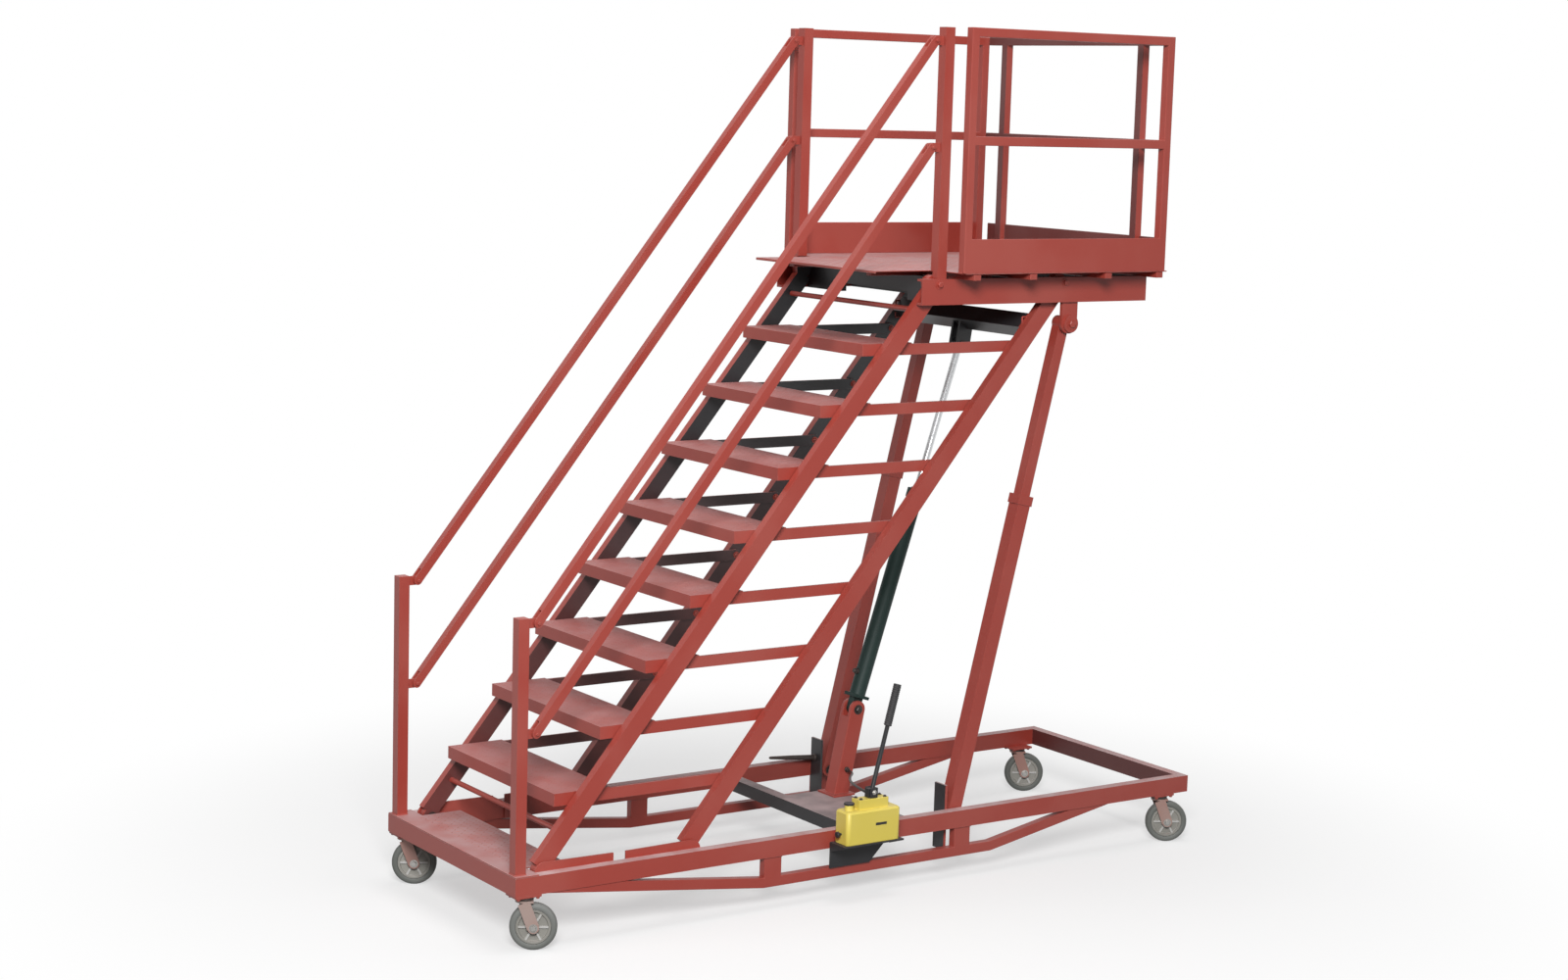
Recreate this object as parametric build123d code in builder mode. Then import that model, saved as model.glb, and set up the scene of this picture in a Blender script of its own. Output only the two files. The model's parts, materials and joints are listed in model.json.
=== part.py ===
from build123d import *
import math
import os

# Height-adjustable aircraft maintenance platform, in millimetres.
# +X runs from the entry landing to the front guard, +Z is up, -Y is the side with the hand pump.
# The origin is on the floor, in the middle of the outline seen from above.

SIDES = (-1, 1)
PIN_FIT = 0.1
SIDE_GAP = 6
PLATE = 6

# Casters
WHEEL_RADIUS = 100
TYRE_HALF = 24
TYRE_SHOULDER = 8
HUB_RADIUS = 74
CASTER_TRAIL = 40
CASTER_TURN = -30
CASTER_CROWN = 28
CASTER_PLATE = 10
CASTER_PLATE_HALF = 60
KINGPIN = 12
AXLE = 8

# Base frame, carried by the casters
BASE_LENGTH = 3720
BASE_HALF_WIDTH = 588
RAIL_WIDTH = 50
RAIL_HEIGHT = 80
BASE_END = BASE_LENGTH / 2
CASTER_PLATE_BOTTOM = 2 * WHEEL_RADIUS + CASTER_CROWN
RAIL_BOTTOM = CASTER_PLATE_BOTTOM + CASTER_PLATE
RAIL_TOP = RAIL_BOTTOM + RAIL_HEIGHT
RAIL_INNER = BASE_HALF_WIDTH - RAIL_WIDTH
RAIL_MID = BASE_HALF_WIDTH - RAIL_WIDTH / 2
CROSS_BEAM = 60
CROSS_BEAM_TOP = RAIL_BOTTOM + CROSS_BEAM
PEDESTAL = 80
CASTER_X = (CASTER_PLATE_HALF + 5 - BASE_END, BASE_END - WHEEL_RADIUS - CASTER_TRAIL - 5)
CASTER_Y = BASE_HALF_WIDTH - 43

# Lift linkage: every stringer and handrail is the same link between its two pins
LINK_RUN = 1935
LINK_RISE = 2420
LIFT_DEG = math.degrees(math.atan2(LINK_RISE, LINK_RUN))
FOOT_SETBACK = 162
FOOT_X = FOOT_SETBACK - BASE_END
FOOT_Z = RAIL_TOP - 8
HEAD_X = FOOT_X + LINK_RUN
HEAD_Z = FOOT_Z + LINK_RISE
STRINGER_PITCH = 725
LINK_PIN = 12

# Across the machine, from the base rail inwards
FOOT_PLATE = 8
FOOT_PLATE_LENGTH = 335
FOOT_PLATE_GAP = 60
FOOT_PLATE_IN = RAIL_INNER - FOOT_PLATE
STRINGER_WIDTH = 40
STRINGER_OUT = FOOT_PLATE_IN - SIDE_GAP
STRINGER_IN = STRINGER_OUT - STRINGER_WIDTH
ARM_THICK = 12
ARM_OUT = STRINGER_IN - SIDE_GAP
ARM_IN = ARM_OUT - ARM_THICK
PLATE_HALF = ARM_OUT - SIDE_GAP

# Stringer tubes lean a little off the line through their pins
STRINGER_DEG = LIFT_DEG - 0.8
STRINGER_DEPTH = 78
LUG_RADIUS = 40
TIE_ROD = 12
TIE_ROD_RISES = (155, LINK_RISE - 115)
LIFT_BEAM = 80
LIFT_BEAM_DROP = 200

# Treads, evenly spaced between the first and the last step
TREAD_COUNT = 8
FIRST_STEP = 284
LAST_STEP = 292
TREAD_RISE = (LINK_RISE - FIRST_STEP - LAST_STEP) / (TREAD_COUNT - 1)
TREAD_NOSE = 130
TREAD_BACK = 140
TREAD_PLATE = 5
ARM_HALF = 25
TREAD_PIN = 10

# Handrails, their posts and the landing
POST = 50
HALF_POST = POST / 2
POST_REACH = 70
POST_SETBACK = 34
RAIL_TUBE = 38
RAIL_Y = RAIL_INNER + 4
RAIL_FOOT_X = POST_SETBACK + POST_REACH - BASE_END
TOP_RAIL_RISE = 1057
MID_RAIL_RISE = 594
RAIL_FOOT_Z = {"top": RAIL_TOP + TOP_RAIL_RISE, "mid": RAIL_TOP + MID_RAIL_RISE}
RAIL_PIN = 6
RAIL_LUG = 10
RAIL_LUG_RADIUS = 20
RAIL_SLOT = 20
LANDING_TOP = RAIL_TOP + PLATE
LANDING_DEPTH = 300

# Platform frame and deck, placed from a datum behind the stringer heads
PLATFORM_X = HEAD_X - 30
BEAM_WIDTH = 40
HALF_BEAM = BEAM_WIDTH / 2
BEAM_HEIGHT = 115
BEAM_WEB = 8
BEAM_FLANGE = 10
BEAM_IN = STRINGER_OUT + SIDE_GAP
BEAM_OUT = BEAM_IN + BEAM_WIDTH
BEAM_TOP = HEAD_Z + 25
BEAM_BOTTOM = BEAM_TOP - BEAM_HEIGHT
BEAM_REAR = PLATFORM_X - 65
REAR_BEAM_X = HEAD_X + 72
REAR_BEAM_ARCH = 40
PLATFORM_LENGTH = 1310
BEAM_FRONT = BEAM_REAR + PLATFORM_LENGTH
BEARER = 28
BEARER_SHARES = (0.159, 0.403, 0.739, 0.976)
DECK_PLATE = 5
DECK_LIP = 12
DECK_BOTTOM = BEAM_TOP + BEARER
DECK_TOP = DECK_BOTTOM + DECK_PLATE
DECK_OVERHANG = 130
DECK_HALF = BEAM_OUT + DECK_OVERHANG
DECK_WIDE_FROM = RAIL_FOOT_X + LINK_RUN + POST_REACH + HALF_POST + SIDE_GAP
DECK_REAR = PLATFORM_X - 255
DECK_FRONT = BEAM_FRONT + 8

# Guards
GUARD_HEIGHT = 1067
GUARD_MID_HEIGHT = 578
GUARD_TUBE = 40
HALF_TUBE = GUARD_TUBE / 2
GUARD_TOP = DECK_TOP + GUARD_HEIGHT
GUARD_MID = DECK_TOP + GUARD_MID_HEIGHT
FRONT_POST_INSET = 120
TOE_HEIGHT = 150
TOE_THICK = 8

# Telescopic props, in front of the middle of the lift gear
LIFT_X = 0.1035 * BASE_LENGTH
PROP_FOOT = (LIFT_X + 75, RAIL_TOP - 40)
PROP_HEAD = (HEAD_X + STRINGER_PITCH + 43, HEAD_Z - 190)
PROP_OUTER = 70
PROP_WALL = 5
PROP_INNER = 54
PROP_Y = RAIL_INNER - SIDE_GAP - PROP_OUTER / 2
PROP_LENGTH = math.dist(PROP_FOOT, PROP_HEAD)
PROP_OUTER_LENGTH = 0.65 * PROP_LENGTH
PROP_INNER_START = 0.3 * PROP_LENGTH
PROP_COLLAR = 45
PROP_EYE = 33
PROP_PLATE_BACK = 45
PROP_PLATE_RISE = 112
PLATE_THICK = 12
PROP_BRACKET = 16
PROP_BRACKET_IN = BEAM_IN + 10
PROP_BRACKET_OUT = PROP_BRACKET_IN + PROP_BRACKET

# Lift cylinder
PEDESTAL_X = LIFT_X - 210
CYL_FOOT = (LIFT_X - 128, RAIL_TOP + 382)
CYL_EYE_DROP = 130
CYL_EYE_BACK = 20
BARREL_RADIUS = 38
BARREL_WALL = 8
BARREL_SHARE = 0.6
GLAND = 45
ROD_RADIUS = 16
ROD_START_SHARE = 0.32
EYE_HALF = 18
EYE_RADIUS = 28
EYE_PLATE = 12
EYE_PLATE_IN = EYE_HALF + 1
EYE_PLATE_OUT = EYE_PLATE_IN + EYE_PLATE

# Trussed lower chords
CHORD = 40
CHORD_DEPTH = 45
CHORD_Z = RAIL_BOTTOM - 113
CHORD_POST = 90
MID_BEAM_X = LIFT_X - 465
CHORD_REAR = MID_BEAM_X - 540
CHORD_FRONT = LIFT_X + 260
CHORD_REAR_SETBACK = 140
CHORD_FRONT_SETBACK = 490

# Hand pump and its shelf
PUMP_X = MID_BEAM_X - 33
PUMP_LENGTH = 290
PUMP_X0 = PUMP_X - PUMP_LENGTH / 2
PUMP_X1 = PUMP_X + PUMP_LENGTH / 2
SHELF_DEPTH = 112
SHELF_OUT = -BASE_HALF_WIDTH - SHELF_DEPTH
SHELF_TOP = RAIL_TOP - 50
PUMP_FRONT = SHELF_OUT + 5
PUMP_BACK = -BASE_HALF_WIDTH - 4
PUMP_MID = (PUMP_FRONT + PUMP_BACK) / 2
TANK_TOP = SHELF_TOP + 150
PUMP_TOP = TANK_TOP + 45
LEVER_REACH = 140
LEVER_HEIGHT = 500
GRIP_LENGTH = 190

parts = {}


def block(x0, x1, y0, y1, z0, z1, mode=Mode.ADD):
    """Box between two corners."""
    with Locations(((x0 + x1) / 2, (y0 + y1) / 2, (z0 + z1) / 2)):
        Box(abs(x1 - x0), abs(y1 - y0), abs(z1 - z0), mode=mode)


def pin(point, y0, y1, radius, mode=Mode.ADD):
    """Round bar along Y through a point of the XZ plane."""
    with Locations(Location((point[0], (y0 + y1) / 2, point[1]), (90, 0, 0))):
        Cylinder(radius, abs(y1 - y0), mode=mode)


def upright(x, y, z0, z1, radius, mode=Mode.ADD):
    """Round bar along Z."""
    with Locations((x, y, (z0 + z1) / 2)):
        Cylinder(radius, abs(z1 - z0), mode=mode)


def along(start, end, distance):
    """Point at a distance from start on the line to end."""
    share = distance / math.dist(start, end)
    return (start[0] + (end[0] - start[0]) * share, start[1] + (end[1] - start[1]) * share)


def lie(start, end, y, tilt=0):
    """Location of a bar between two points of the XZ plane."""
    turn = math.degrees(math.atan2(end[1] - start[1], end[0] - start[0]))
    return Location(((start[0] + end[0]) / 2, y, (start[1] + end[1]) / 2), (0, tilt - turn, 0))


def strut(start, end, depth, y0, y1, mode=Mode.ADD):
    """Rectangular bar between two points of the XZ plane."""
    with Locations(lie(start, end, (y0 + y1) / 2)):
        Box(math.dist(start, end), abs(y1 - y0), depth, mode=mode)


def round_strut(start, end, y, radius, mode=Mode.ADD):
    """Round bar between two points of the XZ plane."""
    with Locations(lie(start, end, y, tilt=90)):
        Cylinder(radius, math.dist(start, end), mode=mode)


def profile(plane, points, thickness):
    """Flat plate with a straight-sided outline."""
    with BuildSketch(plane) as outline:
        with BuildLine():
            Polyline(*points, close=True)
        make_face()
    extrude(outline.sketch, amount=thickness)


def stringer_point(shift, z):
    """Point at height z on the axis of the stringer whose foot is moved by shift."""
    mid_x = FOOT_X + shift + LINK_RUN / 2
    mid_z = FOOT_Z + LINK_RISE / 2
    return (mid_x + (z - mid_z) / math.tan(math.radians(STRINGER_DEG)), z)


def tread_pivots(shift):
    heights = [FOOT_Z + FIRST_STEP + TREAD_RISE * i for i in range(TREAD_COUNT)]
    return [stringer_point(shift, z) for z in heights]


# Base frame: side rails, end tubes, cross beam, the pedestal's stub beam and plate, the prop pins and plates
with BuildPart() as base_frame:
    for side in SIDES:
        block(-BASE_END, BASE_END, side * RAIL_INNER, side * BASE_HALF_WIDTH, RAIL_BOTTOM, RAIL_TOP)
    for end in SIDES:
        block(end * BASE_END, end * (BASE_END - RAIL_WIDTH), -RAIL_INNER, RAIL_INNER, RAIL_BOTTOM, RAIL_TOP)
    for x, width, far_end in ((MID_BEAM_X, CROSS_BEAM, RAIL_INNER), (PEDESTAL_X, PEDESTAL, PEDESTAL)):
        block(x - width / 2, x + width / 2, -RAIL_INNER, far_end, RAIL_BOTTOM, CROSS_BEAM_TOP)
    block(MID_BEAM_X, PEDESTAL_X, -RAIL_INNER, PEDESTAL, CROSS_BEAM_TOP - FOOT_PLATE, CROSS_BEAM_TOP)
    for side in SIDES:
        pin_end = RAIL_INNER - PROP_OUTER - 2 * SIDE_GAP
        pin(PROP_FOOT, side * (RAIL_INNER + SIDE_GAP), side * pin_end, LINK_PIN)
        plate_x = PROP_FOOT[0] - PROP_PLATE_BACK
        block(plate_x, plate_x - PLATE_THICK, side * RAIL_INNER, side * pin_end,
              CHORD_Z, RAIL_TOP + PROP_PLATE_RISE)
parts["base_frame"] = base_frame.part

# Trusses under the side rails: a chord with sloped ends and two short posts
CHORD_POINTS = (
    (CHORD_REAR_SETBACK - BASE_END, RAIL_BOTTOM + CHORD_DEPTH / 2),
    (CHORD_REAR, CHORD_Z),
    (CHORD_FRONT, CHORD_Z),
    (BASE_END - CHORD_FRONT_SETBACK, RAIL_BOTTOM + CHORD_DEPTH / 2),
)
with BuildPart() as base_trusses:
    for y in (-RAIL_MID, RAIL_MID):
        y0, y1 = y - CHORD / 2, y + CHORD / 2
        for start, end in zip(CHORD_POINTS, CHORD_POINTS[1:]):
            strut(start, end, CHORD_DEPTH, y0, y1)
        for bend in CHORD_POINTS[1:3]:
            pin(bend, y0, y1, CHORD_DEPTH / 2)
        for x in (CHORD_REAR + CHORD_POST / 2, LIFT_X + CHORD_POST):
            block(x - CHORD_POST / 2, x + CHORD_POST / 2, y0, y1, CHORD_Z, RAIL_BOTTOM)
        block(-BASE_END, BASE_END, y - RAIL_WIDTH, y + RAIL_WIDTH, RAIL_BOTTOM, RAIL_TOP, Mode.SUBTRACT)
parts["base_trusses"] = base_trusses.part

# Entry landing: full width at the posts, then narrow between the stringer feet, back edge turned down
with BuildPart() as landing_plate:
    narrow_x = FOOT_X - LUG_RADIUS - 10
    back_x = LANDING_DEPTH - BASE_END
    block(-BASE_END, narrow_x, -BASE_HALF_WIDTH, BASE_HALF_WIDTH, RAIL_TOP, LANDING_TOP)
    block(narrow_x, back_x, -PLATE_HALF, PLATE_HALF, RAIL_TOP, LANDING_TOP)
    block(back_x - PLATE, back_x, -PLATE_HALF, PLATE_HALF, RAIL_TOP - 50, LANDING_TOP)
parts["landing_plate"] = landing_plate.part


def rail_lug(point, post_face, y):
    """Flat lug that carries one end of a handrail."""
    y0, y1 = y - RAIL_LUG / 2, y + RAIL_LUG / 2
    block(point[0], post_face, y0, y1, point[1] - RAIL_LUG_RADIUS, point[1] + RAIL_LUG_RADIUS)
    pin(point, y0, y1, RAIL_LUG_RADIUS)
    pin(point, y0 - SIDE_GAP, y1 + SIDE_GAP, RAIL_PIN + PIN_FIT, Mode.SUBTRACT)


# Handrail posts with flat lugs, two on the base and two on the platform
with BuildPart() as base_posts:
    x = RAIL_FOOT_X - POST_REACH
    for y in (-RAIL_Y, RAIL_Y):
        post_top = RAIL_FOOT_Z["top"] + HALF_POST
        block(x - HALF_POST, x + HALF_POST, y - HALF_POST, y + HALF_POST, LANDING_TOP, post_top)
        for z in RAIL_FOOT_Z.values():
            rail_lug((RAIL_FOOT_X, z), x + HALF_POST, y)
parts["base_posts"] = base_posts.part

with BuildPart() as platform_posts:
    rail_head_x = RAIL_FOOT_X + LINK_RUN
    x = rail_head_x + POST_REACH
    for side in SIDES:
        y = side * RAIL_Y
        block(x - HALF_POST, x + HALF_POST, y - HALF_POST, y + HALF_POST, BEAM_TOP, GUARD_TOP)
        block(x - HALF_POST, x + HALF_POST, y - side * POST, side * BEAM_IN,
              BEAM_TOP, DECK_TOP, Mode.SUBTRACT)
        for z in RAIL_FOOT_Z.values():
            rail_lug((rail_head_x, z + LINK_RISE), x - HALF_POST, y)
parts["platform_posts"] = platform_posts.part

# Foot plates inside the side rails: a tapered plate with an ear and a pin at each stringer foot
EAR = LUG_RADIUS + SIDE_GAP
PLATE_GAP_X = FOOT_X + FOOT_PLATE_LENGTH
FOOT_PLATES = (
    # pin x, end x, top at the pin, top at the end
    (FOOT_X, PLATE_GAP_X, FOOT_Z + EAR, RAIL_TOP + 34),
    (FOOT_X + STRINGER_PITCH, PLATE_GAP_X + FOOT_PLATE_GAP, FOOT_Z + EAR, RAIL_TOP + 34),
)
with BuildPart() as foot_plates:
    for side in SIDES:
        outer, inner = side * RAIL_INNER, side * FOOT_PLATE_IN
        for pin_x, end_x, pin_top, end_top in FOOT_PLATES:
            plane = Plane.XZ.offset(-min(outer, inner) - FOOT_PLATE)
            outline = ((pin_x, RAIL_BOTTOM), (end_x, RAIL_BOTTOM), (end_x, end_top), (pin_x, pin_top))
            profile(plane, outline, FOOT_PLATE)
            block(pin_x - EAR, pin_x + EAR, outer, inner, RAIL_BOTTOM, FOOT_Z)
            pin((pin_x, FOOT_Z), outer, inner, EAR)
            pin((pin_x, FOOT_Z), outer, side * ARM_OUT, LINK_PIN)
parts["foot_plates"] = foot_plates.part


def stringer_pair(shift):
    """Tube with a round lug at each end, on either side."""
    for side in SIDES:
        y0, y1 = side * STRINGER_IN, side * STRINGER_OUT
        tube_foot = stringer_point(shift, FOOT_Z + LUG_RADIUS / 2)
        tube_head = stringer_point(shift, HEAD_Z - LUG_RADIUS * 2 / 3)
        strut(tube_foot, tube_head, STRINGER_DEPTH, y0, y1)
        for x, z in ((FOOT_X, FOOT_Z), (HEAD_X, HEAD_Z)):
            pin((x + shift, z), y0, y1, LUG_RADIUS)


def stringer_holes(shift):
    """Through holes at the end pins, blind ones at the treads."""
    for side in SIDES:
        for x, z in ((FOOT_X, FOOT_Z), (HEAD_X, HEAD_Z)):
            pin((x + shift, z), side * ARM_OUT, side * BEAM_IN, LINK_PIN + PIN_FIT, Mode.SUBTRACT)
        for pivot in tread_pivots(shift):
            blind_end = STRINGER_OUT - SIDE_GAP / 2
            pin(pivot, side * ARM_OUT, side * blind_end, TREAD_PIN + PIN_FIT, Mode.SUBTRACT)


# Upper stringers with a tie rod near each end, lower stringers with the lift beam and its eye plates
with BuildPart() as stringers_upper:
    stringer_pair(0)
    for rise in TIE_ROD_RISES:
        pin(stringer_point(0, FOOT_Z + rise), -STRINGER_IN - SIDE_GAP, STRINGER_IN + SIDE_GAP, TIE_ROD)
    stringer_holes(0)
parts["stringers_upper"] = stringers_upper.part

BEAM_AXIS = stringer_point(STRINGER_PITCH, HEAD_Z - LIFT_BEAM_DROP)
CYL_HEAD = (BEAM_AXIS[0] - CYL_EYE_BACK, BEAM_AXIS[1] - CYL_EYE_DROP)
CYL_LENGTH = math.dist(CYL_FOOT, CYL_HEAD)
with BuildPart() as stringers_lower:
    stringer_pair(STRINGER_PITCH)
    beam_start = along(BEAM_AXIS, stringer_point(STRINGER_PITCH, FOOT_Z), LIFT_BEAM / 2)
    beam_end = along(BEAM_AXIS, stringer_point(STRINGER_PITCH, HEAD_Z), LIFT_BEAM / 2)
    strut(beam_start, beam_end, LIFT_BEAM, -STRINGER_IN - SIDE_GAP, STRINGER_IN + SIDE_GAP)
    for side in SIDES:
        y0, y1 = side * EYE_PLATE_IN, side * EYE_PLATE_OUT
        strut(CYL_HEAD, BEAM_AXIS, STRINGER_DEPTH, y0, y1)
        pin(CYL_HEAD, y0, y1, STRINGER_DEPTH / 2)
    stringer_holes(STRINGER_PITCH)
parts["stringers_lower"] = stringers_lower.part

# Treads: a plate with turned-down edges between two long arms, with a pin at each stringer
for number, (x, z) in enumerate(tread_pivots(0), start=1):
    with BuildPart() as tread:
        nose, back, arm_end = x - TREAD_NOSE, x + TREAD_BACK, x + STRINGER_PITCH
        low, high = z - ARM_HALF, z + ARM_HALF
        block(nose, back, -ARM_OUT, ARM_OUT, high, high + TREAD_PLATE)
        for edge in (nose, back - TREAD_PLATE):
            block(edge, edge + TREAD_PLATE, -ARM_IN, ARM_IN, low, high)
        for side in SIDES:
            y0, y1 = side * ARM_IN, side * ARM_OUT
            block(nose, arm_end, y0, y1, low, high)
            pin((arm_end, z), y0, y1, ARM_HALF)
            for pivot_x in (x, arm_end):
                pin((pivot_x, z), y0, side * (STRINGER_OUT - SIDE_GAP), TREAD_PIN)
    parts[f"tread_{number}"] = tread.part

# Handrails: each end slotted over the lug of its post
for level, foot_z in RAIL_FOOT_Z.items():
    foot = (RAIL_FOOT_X, foot_z)
    head = (RAIL_FOOT_X + LINK_RUN, foot_z + LINK_RISE)
    with BuildPart() as handrails:
        for y in (-RAIL_Y, RAIL_Y):
            y0, y1 = y - RAIL_TUBE / 2, y + RAIL_TUBE / 2
            strut(foot, head, RAIL_TUBE, y0, y1)
            for end, other in ((foot, head), (head, foot)):
                pin(end, y0, y1, RAIL_TUBE / 2)
                slot_start = along(end, other, -RAIL_TUBE)
                slot_end = along(end, other, POST)
                strut(slot_start, slot_end, POST, y - RAIL_SLOT / 2, y + RAIL_SLOT / 2, Mode.SUBTRACT)
                pin(end, y0 + 2, y1 - 2, RAIL_PIN)
    parts[f"handrails_{level}"] = handrails.part

# Platform frame: two channel side beams, three cross beams, the first arched, stringer pins and prop brackets
with BuildPart() as platform_frame:
    web_in = BEAM_OUT - BEAM_WEB
    web_mid = BEAM_OUT - BEAM_WEB / 2
    for side in SIDES:
        block(BEAM_REAR, BEAM_FRONT, side * BEAM_IN, side * BEAM_OUT, BEAM_BOTTOM, BEAM_TOP)
        block(BEAM_REAR, BEAM_FRONT, side * BEAM_IN, side * web_in,
              BEAM_BOTTOM + BEAM_FLANGE, BEAM_TOP - BEAM_FLANGE, Mode.SUBTRACT)
        for x in (HEAD_X, HEAD_X + STRINGER_PITCH):
            pin((x, HEAD_Z), side * ARM_OUT, side * web_mid, LINK_PIN)
    for x in (REAR_BEAM_X, PLATFORM_X + STRINGER_PITCH / 2, BEAM_FRONT - HALF_BEAM):
        block(x - HALF_BEAM, x + HALF_BEAM, -web_mid, web_mid, BEAM_BOTTOM, BEAM_TOP)
    block(REAR_BEAM_X - HALF_BEAM, REAR_BEAM_X + HALF_BEAM, -BEAM_IN / 2, BEAM_IN / 2,
          BEAM_BOTTOM, BEAM_BOTTOM + REAR_BEAM_ARCH, Mode.SUBTRACT)
    for side in SIDES:
        inner, outer = side * PROP_BRACKET_IN, side * PROP_BRACKET_OUT
        half = LUG_RADIUS + SIDE_GAP
        block(PROP_HEAD[0] - half, PROP_HEAD[0] + half, inner, outer, PROP_HEAD[1], BEAM_BOTTOM + BEAM_FLANGE)
        pin(PROP_HEAD, inner, outer, half)
        pin(PROP_HEAD, outer, outer + side * PROP_BRACKET, LUG_RADIUS)
parts["platform_frame"] = platform_frame.part

# Deck bearers across the side beams, and two outriggers under the deck's overhang above the stair
BEARERS_X = [BEAM_REAR + share * PLATFORM_LENGTH for share in BEARER_SHARES]
with BuildPart() as deck_bearers:
    for x in BEARERS_X:
        half = DECK_HALF - PLATE
        block(x - HALF_BEAM, x + HALF_BEAM, -half, half, BEAM_TOP, DECK_BOTTOM)
parts["deck_bearers"] = deck_bearers.part

with BuildPart() as deck_outriggers:
    for y in (-0.64 * PLATE_HALF, 0.64 * PLATE_HALF):
        x0, x1 = BEAM_REAR - 100, BEARERS_X[0] - HALF_BEAM
        block(x0, x1, y - HALF_BEAM, y + HALF_BEAM, BEAM_TOP, DECK_BOTTOM)
parts["deck_outriggers"] = deck_outriggers.part

# Deck plate: wide between the guards, narrow where it overhangs the stair
with BuildPart() as platform_deck:
    block(DECK_WIDE_FROM, DECK_FRONT, -DECK_HALF, DECK_HALF, DECK_BOTTOM, DECK_TOP)
    block(DECK_REAR, DECK_WIDE_FROM, -PLATE_HALF, PLATE_HALF, DECK_BOTTOM, DECK_TOP)
    block(DECK_REAR, DECK_REAR + DECK_PLATE, -PLATE_HALF, PLATE_HALF, DECK_TOP - DECK_LIP, DECK_TOP)
parts["platform_deck"] = platform_deck.part

# Guards: two posts, a top rail, a mid rail and a toe board on each open side of the deck
GUARD_REAR = DECK_WIDE_FROM + 7
GUARD_FRONT = DECK_FRONT - 35
for name, side in (("guard_near", -1), ("guard_far", 1)):
    y = side * (DECK_HALF - HALF_TUBE)
    y0, y1 = y - HALF_TUBE, y + HALF_TUBE
    toe_out, toe_in = side * DECK_HALF, side * (DECK_HALF - TOE_THICK)
    with BuildPart() as guard:
        for x in (GUARD_REAR, GUARD_FRONT):
            block(x - HALF_TUBE, x + HALF_TUBE, y0, y1, DECK_TOP, GUARD_TOP)
        for z in (GUARD_TOP - HALF_TUBE, GUARD_MID):
            block(GUARD_REAR, GUARD_FRONT, y0, y1, z - HALF_TUBE, z + HALF_TUBE)
        block(GUARD_REAR, GUARD_FRONT, toe_out, toe_in, DECK_TOP, DECK_TOP + TOE_HEIGHT)
    parts[name] = guard.part

with BuildPart() as guard_front:
    x1 = DECK_FRONT - 10
    x0 = x1 - GUARD_TUBE
    half = DECK_HALF - 2 * GUARD_TUBE
    post_y = half - FRONT_POST_INSET
    for y in (-post_y, post_y):
        block(x0, x1, y - HALF_TUBE, y + HALF_TUBE, DECK_TOP, GUARD_TOP)
    for z in (GUARD_TOP - HALF_TUBE, GUARD_MID):
        block(x0, x1, -half, half, z - HALF_TUBE, z + HALF_TUBE)
    block(x1 - TOE_THICK, x1, -half, half, DECK_TOP, DECK_TOP + TOE_HEIGHT)
parts["guard_front"] = guard_front.part

# Telescopic props: a square tube with a collar, and the bar that slides in it
with BuildPart() as props_outer:
    half = PROP_OUTER / 2
    bore = half - PROP_WALL
    top = along(PROP_FOOT, PROP_HEAD, PROP_OUTER_LENGTH)
    collar = along(PROP_FOOT, PROP_HEAD, PROP_OUTER_LENGTH - PROP_COLLAR)
    bore_start = along(PROP_FOOT, PROP_HEAD, PROP_OUTER)
    for y in (-PROP_Y, PROP_Y):
        strut(PROP_FOOT, top, PROP_OUTER, y - half, y + half)
        strut(collar, top, PROP_OUTER + 12, y - half - 4, y + half + 4)
        pin(PROP_FOOT, y - half, y + half, half)
        strut(bore_start, top, 2 * bore, y - bore, y + bore, Mode.SUBTRACT)
        pin(PROP_FOOT, y - half, y + half, LINK_PIN + PIN_FIT, Mode.SUBTRACT)
parts["props_outer"] = props_outer.part

with BuildPart() as props_inner:
    half = PROP_INNER / 2
    start = along(PROP_FOOT, PROP_HEAD, PROP_INNER_START)
    for side in SIDES:
        y = side * PROP_Y
        strut(start, PROP_HEAD, PROP_INNER, y - half, y + half)
        pin(PROP_HEAD, y - side * half, side * (PROP_BRACKET_IN - 0.5), PROP_EYE)
parts["props_inner"] = props_inner.part

# Lift cylinder: a raked pedestal with a forked top, the barrel and the rod
PEDESTAL_FOOT = (PEDESTAL_X, CROSS_BEAM_TOP)
with BuildPart() as cylinder_pedestal:
    half = PEDESTAL / 2
    fork_base = along(CYL_FOOT, PEDESTAL_FOOT, EYE_RADIUS + 2 * SIDE_GAP)
    strut(along(PEDESTAL_FOOT, CYL_FOOT, -half), fork_base, PEDESTAL, -half, half)
    for side in SIDES:
        y0, y1 = side * EYE_PLATE_IN, side * half
        strut(along(fork_base, PEDESTAL_FOOT, half), CYL_FOOT, PEDESTAL, y0, y1)
        pin(CYL_FOOT, y0, y1, half)
    pin(CYL_FOOT, -half, half, LINK_PIN)
    block(PEDESTAL_X - PEDESTAL, PEDESTAL_X + PEDESTAL, -half, half,
          RAIL_BOTTOM, CROSS_BEAM_TOP, Mode.SUBTRACT)
    block(PEDESTAL_X - 1.5 * half, PEDESTAL_X + 1.5 * half, -1.7 * half, 1.7 * half,
          CROSS_BEAM_TOP, CROSS_BEAM_TOP + CASTER_PLATE)
parts["cylinder_pedestal"] = cylinder_pedestal.part

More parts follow.
